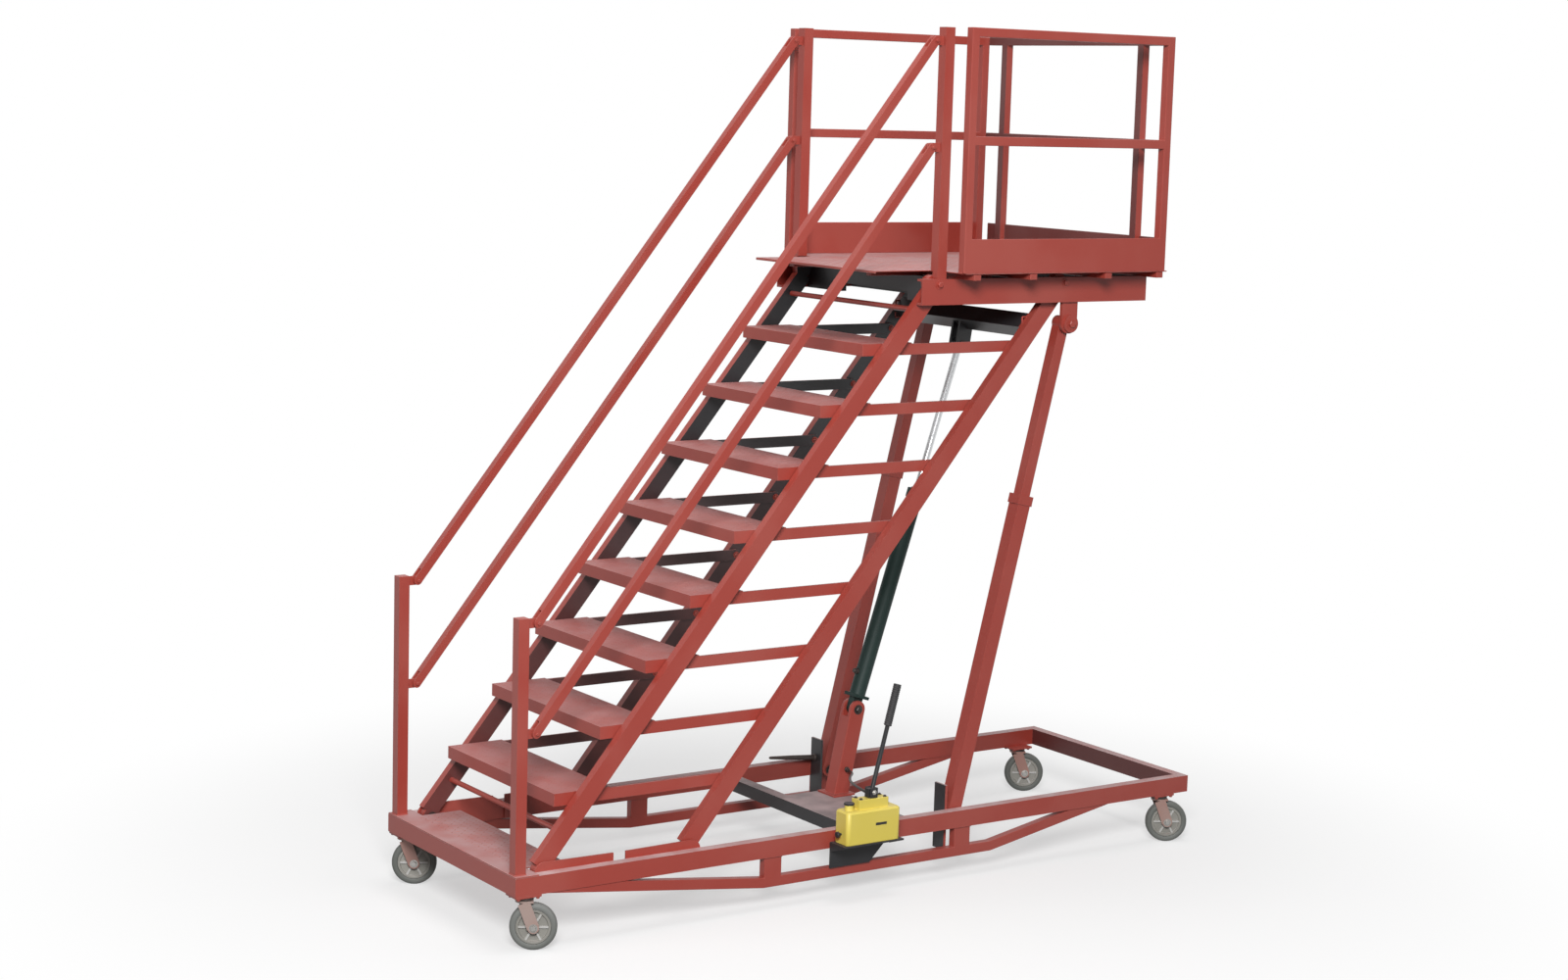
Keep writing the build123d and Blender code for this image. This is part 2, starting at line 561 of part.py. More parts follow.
BARREL_START = EYE_RADIUS + 25
BARREL_END = BARREL_SHARE * CYL_LENGTH
with BuildPart() as cylinder_barrel:
    barrel_foot = along(CYL_FOOT, CYL_HEAD, BARREL_START)
    barrel_head = along(CYL_FOOT, CYL_HEAD, BARREL_END)
    gland = along(CYL_FOOT, CYL_HEAD, BARREL_END - GLAND)
    end_cap = along(CYL_FOOT, CYL_HEAD, BARREL_START + 15)
    bore_start = along(CYL_FOOT, CYL_HEAD, BARREL_START + 30)
    cap_half = BARREL_RADIUS + 5
    round_strut(barrel_foot, barrel_head, 0, BARREL_RADIUS)
    round_strut(gland, barrel_head, 0, BARREL_RADIUS + 6)
    strut(barrel_foot, end_cap, 2 * cap_half, -cap_half, cap_half)
    strut(CYL_FOOT, barrel_foot, 2 * EYE_RADIUS, -EYE_HALF, EYE_HALF)
    pin(CYL_FOOT, -EYE_HALF, EYE_HALF, EYE_RADIUS)
    pin(CYL_FOOT, -EYE_HALF, EYE_HALF, LINK_PIN + PIN_FIT, Mode.SUBTRACT)
    round_strut(bore_start, gland, 0, BARREL_RADIUS - BARREL_WALL, Mode.SUBTRACT)
    round_strut(gland, barrel_head, 0, ROD_RADIUS + PIN_FIT, Mode.SUBTRACT)
parts["cylinder_barrel"] = cylinder_barrel.part

with BuildPart() as cylinder_rod:
    piston_start = along(CYL_FOOT, CYL_HEAD, ROD_START_SHARE * CYL_LENGTH)
    piston_end = along(CYL_FOOT, CYL_HEAD, ROD_START_SHARE * CYL_LENGTH + GLAND)
    round_strut(piston_start, CYL_HEAD, 0, ROD_RADIUS)
    round_strut(piston_start, piston_end, 0, BARREL_RADIUS - BARREL_WALL - 1)
    pin(CYL_HEAD, -EYE_HALF, EYE_HALF, EYE_RADIUS)
parts["cylinder_rod"] = cylinder_rod.part

# Pump shelf: a tray outside the side rail, on a tapered back plate and two gussets
SHELF_X0 = PUMP_X0 - 20
SHELF_X1 = PUMP_X1 + 20
SHELF_BOTTOM = SHELF_TOP - FOOT_PLATE
SHELF_BACK = -BASE_HALF_WIDTH - FOOT_PLATE
BACK_BOTTOM = CHORD_Z + CHORD_DEPTH / 2
with BuildPart() as pump_shelf:
    block(SHELF_X0, SHELF_X1, -BASE_HALF_WIDTH, SHELF_OUT, SHELF_BOTTOM, SHELF_TOP)
    profile(Plane.XZ.offset(BASE_HALF_WIDTH),
            ((SHELF_X0, SHELF_BOTTOM), (SHELF_X1, SHELF_BOTTOM),
             (SHELF_X1 - SHELF_DEPTH, BACK_BOTTOM), (SHELF_X0, BACK_BOTTOM)), FOOT_PLATE)
    for x in (SHELF_X0, SHELF_X1 - FOOT_PLATE):
        profile(Plane.YZ.offset(x),
                ((SHELF_BACK, SHELF_BOTTOM), (SHELF_OUT, SHELF_BOTTOM),
                 (SHELF_BACK, SHELF_BOTTOM - SHELF_DEPTH / 3)), FOOT_PLATE)
parts["pump_shelf"] = pump_shelf.part

# Hand pump: a rounded tank, a pump head with a filler cap beside it, and the lever in its socket
with BuildPart() as pump_body:
    block(PUMP_X0, PUMP_X1, PUMP_FRONT, PUMP_BACK, SHELF_TOP, TANK_TOP)
    fillet(pump_body.edges().filter_by(Axis.Z), 18)
    chamfer(pump_body.faces().sort_by(Axis.Z)[-1].edges(), 8)
    block(PUMP_X - 70, PUMP_X + 90, PUMP_MID - 30, PUMP_MID + 30, TANK_TOP, PUMP_TOP)
    upright(PUMP_X - 105, PUMP_MID, TANK_TOP, TANK_TOP + 25, 20)
parts["pump_body"] = pump_body.part

LEVER_FOOT = (PUMP_X + 15, PUMP_TOP + 22)
LEVER_END = (PUMP_X + LEVER_REACH, PUMP_TOP + LEVER_HEIGHT)
with BuildPart() as pump_lever:
    block(LEVER_FOOT[0] - 25, LEVER_FOOT[0] + 25, PUMP_MID - 16, PUMP_MID + 16, PUMP_TOP, LEVER_FOOT[1] + 20)
    round_strut(LEVER_FOOT, LEVER_END, PUMP_MID, 10)
    round_strut(along(LEVER_END, LEVER_FOOT, GRIP_LENGTH), LEVER_END, PUMP_MID, 16)
parts["pump_lever"] = pump_lever.part

# Caster plates under the corners, drilled for the kingpins
with BuildPart() as caster_plates:
    for x in CASTER_X:
        for side in SIDES:
            y = side * CASTER_Y
            block(x - CASTER_PLATE_HALF, x + CASTER_PLATE_HALF, y - side * RAIL_WIDTH, side * BASE_HALF_WIDTH,
                  CASTER_PLATE_BOTTOM, RAIL_BOTTOM)
            upright(x, y, CASTER_PLATE_BOTTOM, RAIL_BOTTOM - 2, KINGPIN + PIN_FIT, Mode.SUBTRACT)
parts["caster_plates"] = caster_plates.part

# Swivel casters, turned as they stand: a fork with its kingpin and axle, a tyre and a dished hub
CORNERS = {"rear_near": (0, -1), "rear_far": (0, 1), "front_near": (1, -1), "front_far": (1, 1)}
FORK_IN = TYRE_HALF + 7
FORK_OUT = FORK_IN + PLATE
BOSS_HALF = TYRE_HALF + 4
CROWN_BOTTOM = 2 * WHEEL_RADIUS + SIDE_GAP
CROWN_TOP = CASTER_PLATE_BOTTOM - 0.3
for corner, (end, side) in CORNERS.items():
    x = CASTER_X[end]
    y = side * CASTER_Y
    axle = (x + CASTER_TRAIL, WHEEL_RADIUS)
    kingpin = Axis((x, y, 0), (0, 0, 1))
    with BuildPart() as fork:
        upright(x, y, CROWN_BOTTOM, CROWN_TOP, FORK_OUT)
        upright(x, y, CROWN_BOTTOM, CASTER_PLATE_BOTTOM + PLATE, KINGPIN)
        block(x, x + CASTER_TRAIL, y - FORK_OUT, y + FORK_OUT, CROWN_BOTTOM, CROWN_BOTTOM + FOOT_PLATE)
        for cheek in SIDES:
            y0, y1 = y + cheek * FORK_IN, y + cheek * FORK_OUT
            strut((x, CROWN_BOTTOM), axle, 52, y0, y1)
            pin(axle, y0, y1, 24)
        pin(axle, y - FORK_OUT, y + FORK_OUT, AXLE)
    parts[f"fork_{corner}"] = fork.part.rotate(kingpin, CASTER_TURN)

    with BuildPart() as tyre:
        pin(axle, y - TYRE_HALF, y + TYRE_HALF, WHEEL_RADIUS)
        chamfer(tyre.edges().filter_by(GeomType.CIRCLE), TYRE_SHOULDER)
        pin(axle, y - TYRE_HALF, y + TYRE_HALF, HUB_RADIUS, Mode.SUBTRACT)
    parts[f"tyre_{corner}"] = tyre.part.rotate(kingpin, CASTER_TURN)

    with BuildPart() as hub:
        pin(axle, y - TYRE_HALF + 4, y + TYRE_HALF - 4, HUB_RADIUS - 0.05)
        for face in SIDES:
            pin(axle, y + face * TYRE_HALF / 2, y + face * TYRE_HALF, HUB_RADIUS - 12, Mode.SUBTRACT)
        pin(axle, y - BOSS_HALF, y + BOSS_HALF, 20)
        pin(axle, y - BOSS_HALF, y + BOSS_HALF, AXLE + PIN_FIT, Mode.SUBTRACT)
    parts[f"hub_{corner}"] = hub.part.rotate(kingpin, CASTER_TURN)

os.makedirs("parts", exist_ok=True)
for name, part in parts.items():
    export_step(part, f"parts/{name}.step")
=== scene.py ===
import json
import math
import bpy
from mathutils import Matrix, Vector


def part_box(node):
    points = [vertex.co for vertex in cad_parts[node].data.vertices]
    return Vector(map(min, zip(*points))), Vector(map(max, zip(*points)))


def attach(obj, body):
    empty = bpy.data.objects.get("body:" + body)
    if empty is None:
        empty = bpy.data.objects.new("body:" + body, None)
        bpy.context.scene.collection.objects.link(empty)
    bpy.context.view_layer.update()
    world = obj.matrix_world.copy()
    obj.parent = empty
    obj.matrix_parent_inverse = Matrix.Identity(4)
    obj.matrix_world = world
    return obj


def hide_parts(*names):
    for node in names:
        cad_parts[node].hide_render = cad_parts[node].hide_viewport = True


bl_info = {
    "name": "Maintenance Platform Dresser",
    "version": (1, 0, 0),
    "blender": (4, 5, 0),
    "location": "View3D > Sidebar > Platform",
    "description": "Paints a wheeled maintenance platform and adds its fasteners, lugs, welds and fittings",
    "category": "Object",
}

import bmesh
import bpy
from mathutils import Matrix, Vector

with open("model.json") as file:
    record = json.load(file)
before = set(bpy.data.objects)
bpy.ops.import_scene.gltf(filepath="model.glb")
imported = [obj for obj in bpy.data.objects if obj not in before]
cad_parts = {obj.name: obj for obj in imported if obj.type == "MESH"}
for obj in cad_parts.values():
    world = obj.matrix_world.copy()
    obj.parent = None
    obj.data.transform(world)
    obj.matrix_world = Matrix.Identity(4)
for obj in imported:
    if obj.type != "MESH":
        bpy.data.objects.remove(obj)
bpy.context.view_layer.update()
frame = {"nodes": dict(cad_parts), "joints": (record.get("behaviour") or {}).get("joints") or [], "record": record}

NODES = frame["nodes"]
PIVOTS = {joint["name"]: Vector(joint["pos_m"]) for joint in frame["joints"] if joint.get("pos_m")}
AXLES = {joint["name"]: Vector(joint["axis"]).normalized()
         for joint in frame["joints"] if joint["name"].startswith("roll_")}
CORNERS = ("rear_near", "rear_far", "front_near", "front_far")
STEPS = range(1, 9)
SIDES = (-1, 1)
UP = Vector((0, 0, 1))
DOWN = Vector((0, 0, -1))
FULL_TURN = 2 * math.pi

# The link between two pins of a stringer or a handrail, and the step from the upper to the lower stringer
LINK = PIVOTS["platform_level"] - PIVOTS["lift"]
STRINGER_STEP = PIVOTS["lower_stringer_swing"] - PIVOTS["lift"]

# Faces of the solids that carry fasteners, as distances from the middle, in metres
BEAM_FACE = 0.570
PIN_END = 0.478
PROP_PIN_END = 0.456
PROP_BOSS = 0.572
ARM_IN = 0.466
PEDESTAL_HALF = 0.040
EYE_FACE = 0.031
FORK_FACE = 0.037

# Places and sizes on the solids, in metres
RAIL_TUBE = 0.038
TREAD_DEPTH = 0.270
TREAD_ARM = 0.040
LUGGED_HALF = 0.46
LANDING_BARE = 0.07
PROP_HEAD = Vector((1.005, 0, 2.540))
ROD_EYE = Vector((0.8047, 0, 2.400))
BARREL_RADIUS = 0.038
GLAND_RADIUS = 0.044
ENTRY_POST = Vector((-1.826, 0.542, 0))
POST_HALF = 0.025
RAIL_INNER = 0.538
RAIL_BOTTOM = 0.238
MID_BEAM = ((-0.110, 0.238), (-0.050, 0.298))
TRUSS_POSTS = (-0.575, 0.475)
TRUSS_Y = 0.563
TRUSS_HALF = (0.045, 0.020)
GUARD_POSTS = (0.287, 1.425)
GUARD_Y = 0.680
TUBE_HALF = 0.020
STRINGER_IN = 0.484
LIFT_BEAM = Vector((0.8254, 0, 2.530))
LIFT_BEAM_HALF = 0.040
HEAD_TOP = 0.463
HEAD_SCREWS = (-0.168, -0.038)
FILLER = Vector((-0.218, -0.6435, 0.443))
FRONT_SLOT = Vector((-0.075, -0.695, 0.352))
LEVER_FOOT = Vector((-0.098, -0.6435, 0.485))
LEVER_END = Vector((0.027, -0.6435, 0.963))
LOCK_PIN = (Vector((0.404, 0.500, 0.336)), Vector((0.130, 0.500, 0.364)))
PIPE_ROUTE = ((-0.045, -0.6130, 0.446), (-0.045, -0.560, 0.450), (-0.040, -0.470, 0.456),
              (0.010, -0.330, 0.450), (0.115, -0.190, 0.432), (0.190, -0.110, 0.420), (0.200, -0.040, 0.420))

# Radius and height of a bolt's head and radius of its washer, in metres
BEAM_BOLT = (0.014, 0.010, 0.021)
PROP_BOLT = (0.018, 0.012, 0.027)
FOOT_BOLT = (0.015, 0.010, 0.022)
STEP_BOLT = (0.011, 0.007, 0.016)
HANDRAIL_BOLT = (0.008, 0.006, 0.012)
CYLINDER_BOLT = (0.016, 0.010, 0.023)
AXLE_NUT = (0.013, 0.009, 0.018)
CASTER_BOLT = (0.008, 0.006, 0.010)
CLEVIS_BOLT = (0.008, 0.006, 0.011)
HEAD_SCREW = (0.0065, 0.005, 0.009)
WASHER_HEIGHT = 0.0022
WELD_RIPPLE = 0.009

# Boxes round the cross beams that take black as painted shade under the deck and the stair: lowest and highest
# corner, in metres
LIFT_BEAM_SHADE_BOX = ((-3, -0.480, 0), (3, 0.480, 4))
DECK_BEAM_SHADE_BOX = ((-3, -0.529, 2), (3, 0.529, 4))
MID_BEAM_SHADE_BOX = ((-0.2, -0.537, 0), (0.42, 0.537, 1))

# Painted shade on inner faces, deepening higher up under the platform: axis, least distance from the middle, share
# of black at the floor and its gain per metre
STAIR_INSIDE_SHADE = ("Y", 0.3, 0.60, 0.20)
GUARD_INSIDE_SHADE = ("X", 0.3, 0.7, 0.0)
BASE_INSIDE_SHADE = ("X", 1.0, 0.75, 0.0)

# Colours of edges: paint that is rubbed or walked bare, and the cast hubs
RUBBED = (0.30, 0.16, 0.13)
WALKED = (0.34, 0.24, 0.21)
CAST_EDGE = (0.25, 0.23, 0.20)

# The inner bars' round ends meet their sides too flatly for a wide edge.
FINE_EDGED = {"props_inner": 0.0008}


class FinishSettings(bpy.types.PropertyGroup):
    """Colours of the platform's finishes"""

    red: bpy.props.FloatVectorProperty(
        name="Red Paint", description="Paint of the frame, stair and guards", subtype="COLOR",
        size=3, min=0, max=1, default=(0.355, 0.048, 0.033))
    faded: bpy.props.FloatVectorProperty(
        name="Faded Red", description="Red paint where the sun has bleached it", subtype="COLOR",
        size=3, min=0, max=1, default=(0.400, 0.098, 0.078))
    # Dust, and painted top light: the colour that surfaces facing up turn to.
    dust_and_top_light: bpy.props.FloatVectorProperty(
        name="Dust", description="Dust on surfaces that face up", subtype="COLOR",
        size=3, min=0, max=1, default=(0.50, 0.33, 0.33))
    yellow: bpy.props.FloatVectorProperty(
        name="Pump Yellow", description="Paint of the hand pump", subtype="COLOR",
        size=3, min=0, max=1, default=(0.78, 0.63, 0.105))
    green: bpy.props.FloatVectorProperty(
        name="Cylinder Green", description="Paint of the lift cylinder", subtype="COLOR",
        size=3, min=0, max=1, default=(0.008, 0.026, 0.022))
    # Black of the pump's fittings and grip; on the cross beams, inner faces and pump shelf it is painted shade.
    black: bpy.props.FloatVectorProperty(
        name="Black Paint", description="Paint of the cross beams, inner faces and pump shelf",
        subtype="COLOR", size=3, min=0, max=1, default=(0.018, 0.018, 0.020))
    tyre: bpy.props.FloatVectorProperty(
        name="Tyre Grey", description="Rubber of the caster tyres", subtype="COLOR",
        size=3, min=0, max=1, default=(0.116, 0.122, 0.111))
    # The hub grey is darkened as painted shade in the dish between the ribs.
    hub: bpy.props.FloatVectorProperty(
        name="Hub Grey", description="Cast caster hubs", subtype="COLOR",
        size=3, min=0, max=1, default=(0.31, 0.30, 0.27))
    zinc: bpy.props.FloatVectorProperty(
        name="Zinc", description="Plated nuts and clevis bolts", subtype="COLOR",
        size=3, min=0, max=1, default=(0.40, 0.39, 0.37))


class DetailSettings(bpy.types.PropertyGroup):
    """Sizes of the small pieces"""

    edge: bpy.props.FloatProperty(
        name="Edge Radius", description="Rounding of the tube and plate edges",
        default=0.0025, min=0, unit="LENGTH")
    lug_pitch: bpy.props.FloatProperty(
        name="Lug Pitch", description="Distance between the anti-slip lugs",
        default=0.031, min=0.01, unit="LENGTH")
    lug_height: bpy.props.FloatProperty(
        name="Lug Height", description="Height of the anti-slip lugs",
        default=0.0010, min=0, unit="LENGTH")
    weld: bpy.props.FloatProperty(
        name="Weld Radius", description="Radius of the weld beads",
        default=0.0045, min=0.001, unit="LENGTH")
    pipe: bpy.props.FloatProperty(
        name="Pipe Radius", description="Radius of the hydraulic pipe",
        default=0.006, min=0.001, unit="LENGTH")


def finish_settings():
    return bpy.context.scene.platform_finish


def detail_settings():
    return bpy.context.scene.platform_detail


# Nodes

NODE_COLUMNS = 6
NODE_SPACING = 220


def feed(socket, value):
    """Links an input to another node's output, or sets it to a plain value."""
    if isinstance(value, bpy.types.NodeSocket):
        socket.id_data.links.new(value, socket)
    else:
        socket.default_value = value


def fill(node, **inputs):
    """Feeds inputs by name, with an underscore for each space."""
    for key, value in inputs.items():
        feed(node.inputs[key.replace("_", " ")], value)
    return node


def add_node(tree, kind, settings=None, **inputs):
    """New node with its settings and inputs, laid out in rows in the order of making."""
    row, column = divmod(len(tree.nodes), NODE_COLUMNS)
    node = tree.nodes.new(kind)
    node.location = (column * NODE_SPACING, -row * NODE_SPACING)
    for key, value in (settings or {}).items():
        setattr(node, key, value)
    return fill(node, **inputs)


def add_sockets(tree, in_out, **kinds):
    """Sockets of a node group by name and kind, with an underscore for each space."""
    for name, kind in kinds.items():
        tree.interface.new_socket(name.replace("_", " "), in_out=in_out, socket_type=f"NodeSocket{kind}")


def math_node(tree, operation, *values):
    node = add_node(tree, "ShaderNodeMath", {"operation": operation})
    for socket, value in zip(node.inputs, values):
        feed(socket, value)
    return node.outputs[0]


def split_node(tree, vector):
    """Outputs X, Y and Z of a vector."""
    return add_node(tree, "ShaderNodeSeparateXYZ", Vector=vector).outputs


def vector_node(tree, **parts):
    return add_node(tree, "ShaderNodeCombineXYZ", **parts).outputs[0]


def ramp_node(tree, factor, low, high, least=0.0):
    """Smooth step of a factor between two limits."""
    node = add_node(tree, "ShaderNodeMapRange", {"interpolation_type": "SMOOTHSTEP"}, Value=factor,
                    From_Min=low, From_Max=high, To_Min=least)
    return node.outputs["Result"]


def mix_node(tree, factor, a, b):
    """Mix of two colours."""
    node = add_node(tree, "ShaderNodeMix", {"data_type": "RGBA"}, Factor=factor, A=a, B=b)
    return next(output for output in node.outputs if output.enabled)


def noise_node(tree, scale, detail):
    """Noise over the piece's own coordinates."""
    place = add_node(tree, "ShaderNodeTexCoord").outputs["Object"]
    return add_node(tree, "ShaderNodeTexNoise", Vector=place, Scale=scale, Detail=detail).outputs["Fac"]


# Shader group and materials


def rgba(color):
    return (*color, 1.0)


def lighter(color, share):
    return tuple(value + (1 - value) * share for value in color)


def darker(color, share):
    return tuple(value * (1 - share) for value in color)


def worn_surface_group():
    """Shared wear and painted top light: bleaching in patches, paler level faces, bare edges and a fine grain.
    Dust and painted top light make the level faces paler.
    """
    tree = bpy.data.node_groups.get("worn_surface")
    if tree:
        return tree
    tree = bpy.data.node_groups.new("worn_surface", "ShaderNodeTree")
    add_sockets(tree, "INPUT", Color="Color", Faded="Color", Dust="Color", Edge="Color",
                Fade_Amount="Float", Dust_Amount="Float", Edge_Amount="Float", Gloss="Float")
    add_sockets(tree, "OUTPUT", Color="Color", Roughness="Float", Height="Float")
    given = add_node(tree, "NodeGroupInput").outputs
    normal = add_node(tree, "ShaderNodeNewGeometry").outputs["Normal"]

    patches = ramp_node(tree, noise_node(tree, scale=2.3, detail=5), low=0.38, high=0.68)
    faded = math_node(tree, "MULTIPLY", patches, given["Fade Amount"])
    color = mix_node(tree, faded, given["Color"], given["Faded"])

    # Level faces turn paler. Dust and painted top light, both in one colour.
    level = ramp_node(tree, split_node(tree, normal)["Z"], low=0.55, high=0.98)
    streaks = ramp_node(tree, noise_node(tree, scale=7.0, detail=6), low=0.25, high=0.75)
    lying = math_node(tree, "MULTIPLY", level, math_node(tree, "MULTIPLY_ADD", streaks, 0.6, 0.4))
    dust_and_top_light_share = math_node(tree, "MULTIPLY", lying, given["Dust Amount"])
    color = mix_node(tree, dust_and_top_light_share, color, given["Dust"])

    rounded = add_node(tree, "ShaderNodeBevel", {"samples": 4}, Radius=0.004)
    facing = add_node(tree, "ShaderNodeVectorMath", {"operation": "DOT_PRODUCT"})
    feed(facing.inputs[0], rounded.outputs["Normal"])
    feed(facing.inputs[1], normal)
    bent = math_node(tree, "SUBTRACT", 1.0, facing.outputs["Value"])
    edge = ramp_node(tree, bent, low=0.01, high=0.16)
    broken = ramp_node(tree, noise_node(tree, scale=42.0, detail=4), low=0.48, high=0.66)
    chipped = math_node(tree, "MULTIPLY", math_node(tree, "MULTIPLY", edge, broken), given["Edge Amount"])
    color = mix_node(tree, chipped, color, given["Edge"])

    rough = math_node(tree, "MULTIPLY_ADD", dust_and_top_light_share, 0.35, given["Gloss"])
    rough = math_node(tree, "MULTIPLY_ADD", patches, 0.08, rough)
    grain = noise_node(tree, scale=260.0, detail=3)
    add_node(tree, "NodeGroupOutput", Color=color, Roughness=rough, Height=grain)
    return tree


def worn_material(name, color, faded, dust_and_top_light, edge, fade, dust_and_top_light_share, bare, gloss, bump=0.08, metallic=0.0,
                  shine=0.5):
    """Material with the shared wear, made once."""
    material = bpy.data.materials.get(name)
    if material:
        return material
    material = bpy.data.materials.new(name)
    material.use_nodes = True
    tree = material.node_tree
    worn = add_node(tree, "ShaderNodeGroup", {"node_tree": worn_surface_group()}, Color=rgba(color),
                    Faded=rgba(faded), Dust=rgba(dust_and_top_light), Edge=rgba(edge), Fade_Amount=fade,
                    Dust_Amount=dust_and_top_light_share, Edge_Amount=bare, Gloss=gloss).outputs
    raised = add_node(tree, "ShaderNodeBump", Strength=bump, Distance=0.001, Height=worn["Height"])
    fill(tree.nodes["Principled BSDF"], Base_Color=worn["Color"], Roughness=worn["Roughness"],
         Normal=raised.outputs["Normal"], Metallic=metallic, Specular_IOR_Level=shine)
    return material


def box_mask(tree, low, high):
    """1 inside a box of the piece's own coordinates, 0 outside."""
    place = split_node(tree, add_node(tree, "ShaderNodeTexCoord").outputs["Object"])
    mask = 1.0
    for axis, start, end in zip("XYZ", low, high):
        offset = math_node(tree, "SUBTRACT", place[axis], (start + end) / 2)
        inside = math_node(tree, "LESS_THAN", math_node(tree, "ABSOLUTE", offset), (end - start) / 2)
        mask = math_node(tree, "MULTIPLY", inside, mask)
    return mask


def inward_shade_mask(tree, axis, edge, foot, rise):
    """Painted shade: above 0 on faces that look at the middle along an axis, growing with height, and 0 on the
    rest.
    """
    coordinates = add_node(tree, "ShaderNodeTexCoord").outputs
    place = split_node(tree, coordinates["Object"])
    facing = split_node(tree, coordinates["Normal"])
    inward = math_node(tree, "LESS_THAN", math_node(tree, "MULTIPLY", place[axis], facing[axis]), -edge)
    depth = math_node(tree, "MULTIPLY_ADD", place["Z"], rise, foot)
    return math_node(tree, "MULTIPLY", inward, math_node(tree, "MINIMUM", depth, 1.0))


def painted_shade_copy(name, paint, box, inward):
    """Copy of a paint with black painted shade inside a box or on the inward faces, made once."""
    copy = bpy.data.materials.get(name)
    if copy:
        return copy
    copy = paint().copy()
    copy.name = name
    tree = copy.node_tree
    worn = next(node for node in tree.nodes if node.type == "GROUP")
    mask = box_mask(tree, *box) if box else 0.0
    if inward:
        mask = math_node(tree, "MAXIMUM", inward_shade_mask(tree, *inward), mask)
    # The black mixed in below is painted shade.
    for label, share in (("Color", 0.0), ("Faded", 0.03)):
        socket = worn.inputs[label]
        black = rgba(lighter(finish_settings().black, share))
        feed(socket, mix_node(tree, mask, socket.default_value, black))
    return copy


def red_paint():
    colors = finish_settings()
    return worn_material("red_paint", colors.red, colors.faded, colors.dust_and_top_light, RUBBED,
                         fade=0.45, dust_and_top_light_share=0.10, bare=0.35, gloss=0.40)


def walked_red_paint():
    colors = finish_settings()
    return worn_material("walked_red_paint", colors.red, colors.faded, colors.dust_and_top_light, WALKED,
                         fade=0.6, dust_and_top_light_share=0.45, bare=0.6, gloss=0.44, bump=0.15)


def deck_paint():
    colors = finish_settings()
    return worn_material("deck_paint", colors.red, colors.faded, colors.dust_and_top_light, WALKED,
                         fade=0.8, dust_and_top_light_share=0.85, bare=0.5, gloss=0.36, bump=0.10)


def rail_paint():
    """Red base rails, pale on top. Dust and painted top light make the tops pale."""
    colors = finish_settings()
    return worn_material("rail_paint", colors.red, colors.faded, lighter(colors.dust_and_top_light, 0.22), WALKED,
                         fade=0.45, dust_and_top_light_share=0.95, bare=0.4, gloss=0.40)


def fork_paint():
    """Red forks, worn nearly to the steel."""
    colors = finish_settings()
    return worn_material("fork_paint", (0.34, 0.185, 0.155), (0.37, 0.29, 0.26), colors.dust_and_top_light, colors.zinc,
                         fade=0.8, dust_and_top_light_share=0.2, bare=0.6, gloss=0.42, metallic=0.25)


def yellow_paint():
    colors = finish_settings()
    return worn_material("yellow_paint", colors.yellow, lighter(colors.yellow, 0.15), colors.dust_and_top_light,
                         (0.22, 0.18, 0.10), fade=0.4, dust_and_top_light_share=0.12, bare=0.5, gloss=0.36)


# Black of the black slot and the pump's fittings; on the pump shelf it is painted shade.
def black_paint():
    colors = finish_settings()
    return worn_material("black_paint", colors.black, lighter(colors.black, 0.03), colors.dust_and_top_light,
                         (0.16, 0.15, 0.14), fade=0.6, dust_and_top_light_share=0.10, bare=0.5, gloss=0.46, shine=0.3)


def green_paint():
    colors = finish_settings()
    return worn_material("green_paint", colors.green, lighter(colors.green, 0.03), colors.dust_and_top_light,
                         (0.12, 0.13, 0.12), fade=0.5, dust_and_top_light_share=0.05, bare=0.4, gloss=0.48, shine=0.22)


# Hub darker and its ribs lighter: painted shade in the dish and painted light on the ribs.
def hub_paint_and_shade():
    colors = finish_settings()
    return worn_material("hub_paint_and_shade", colors.hub, darker(colors.hub, 0.3), colors.dust_and_top_light, CAST_EDGE,
                         fade=0.7, dust_and_top_light_share=0.2, bare=0.5, gloss=0.48)


# Lighter copy of the hub grey: painted light on the ribs.
def lit_rib_paint():
    colors = finish_settings()
    return worn_material("lit_rib_paint", lighter(colors.hub, 0.35), lighter(colors.hub, 0.2), colors.dust_and_top_light,
                         CAST_EDGE, fade=0.6, dust_and_top_light_share=0.2, bare=0.5, gloss=0.48)


def tyre_rubber():
    tyre = finish_settings().tyre
    return worn_material("tyre_rubber", tyre, lighter(tyre, 0.10), lighter(tyre, 0.3), lighter(tyre, 0.2),
                         fade=0.8, dust_and_top_light_share=0.4, bare=0.5, gloss=0.62, bump=0.25)


def grip_rubber():
    colors = finish_settings()
    return worn_material("grip_rubber", colors.black, lighter(colors.black, 0.04), colors.dust_and_top_light,
                         lighter(colors.black, 0.1), fade=0.5, dust_and_top_light_share=0.1, bare=0.3, gloss=0.6, bump=0.3)


def zinc_plate():
    colors = finish_settings()
    return worn_material("zinc_plate", colors.zinc, darker(colors.zinc, 0.35), colors.dust_and_top_light,
                         lighter(colors.zinc, 0.3), fade=0.8, dust_and_top_light_share=0.15, bare=0.3, gloss=0.36, metallic=0.85)


def dark_steel():
    return worn_material("dark_steel", (0.045, 0.040, 0.038), (0.075, 0.055, 0.048), (0.30, 0.22, 0.20),
                         (0.20, 0.19, 0.18), fade=0.7, dust_and_top_light_share=0.15, bare=0.4, gloss=0.42, metallic=0.6)


def chrome_rod():
    return worn_material("chrome_rod", (0.62, 0.63, 0.64), (0.52, 0.53, 0.54), (0.5, 0.48, 0.46),
                         (0.66, 0.66, 0.66), fade=0.4, dust_and_top_light_share=0.05, bare=0.2, gloss=0.24, bump=0.02,
                         metallic=1.0)


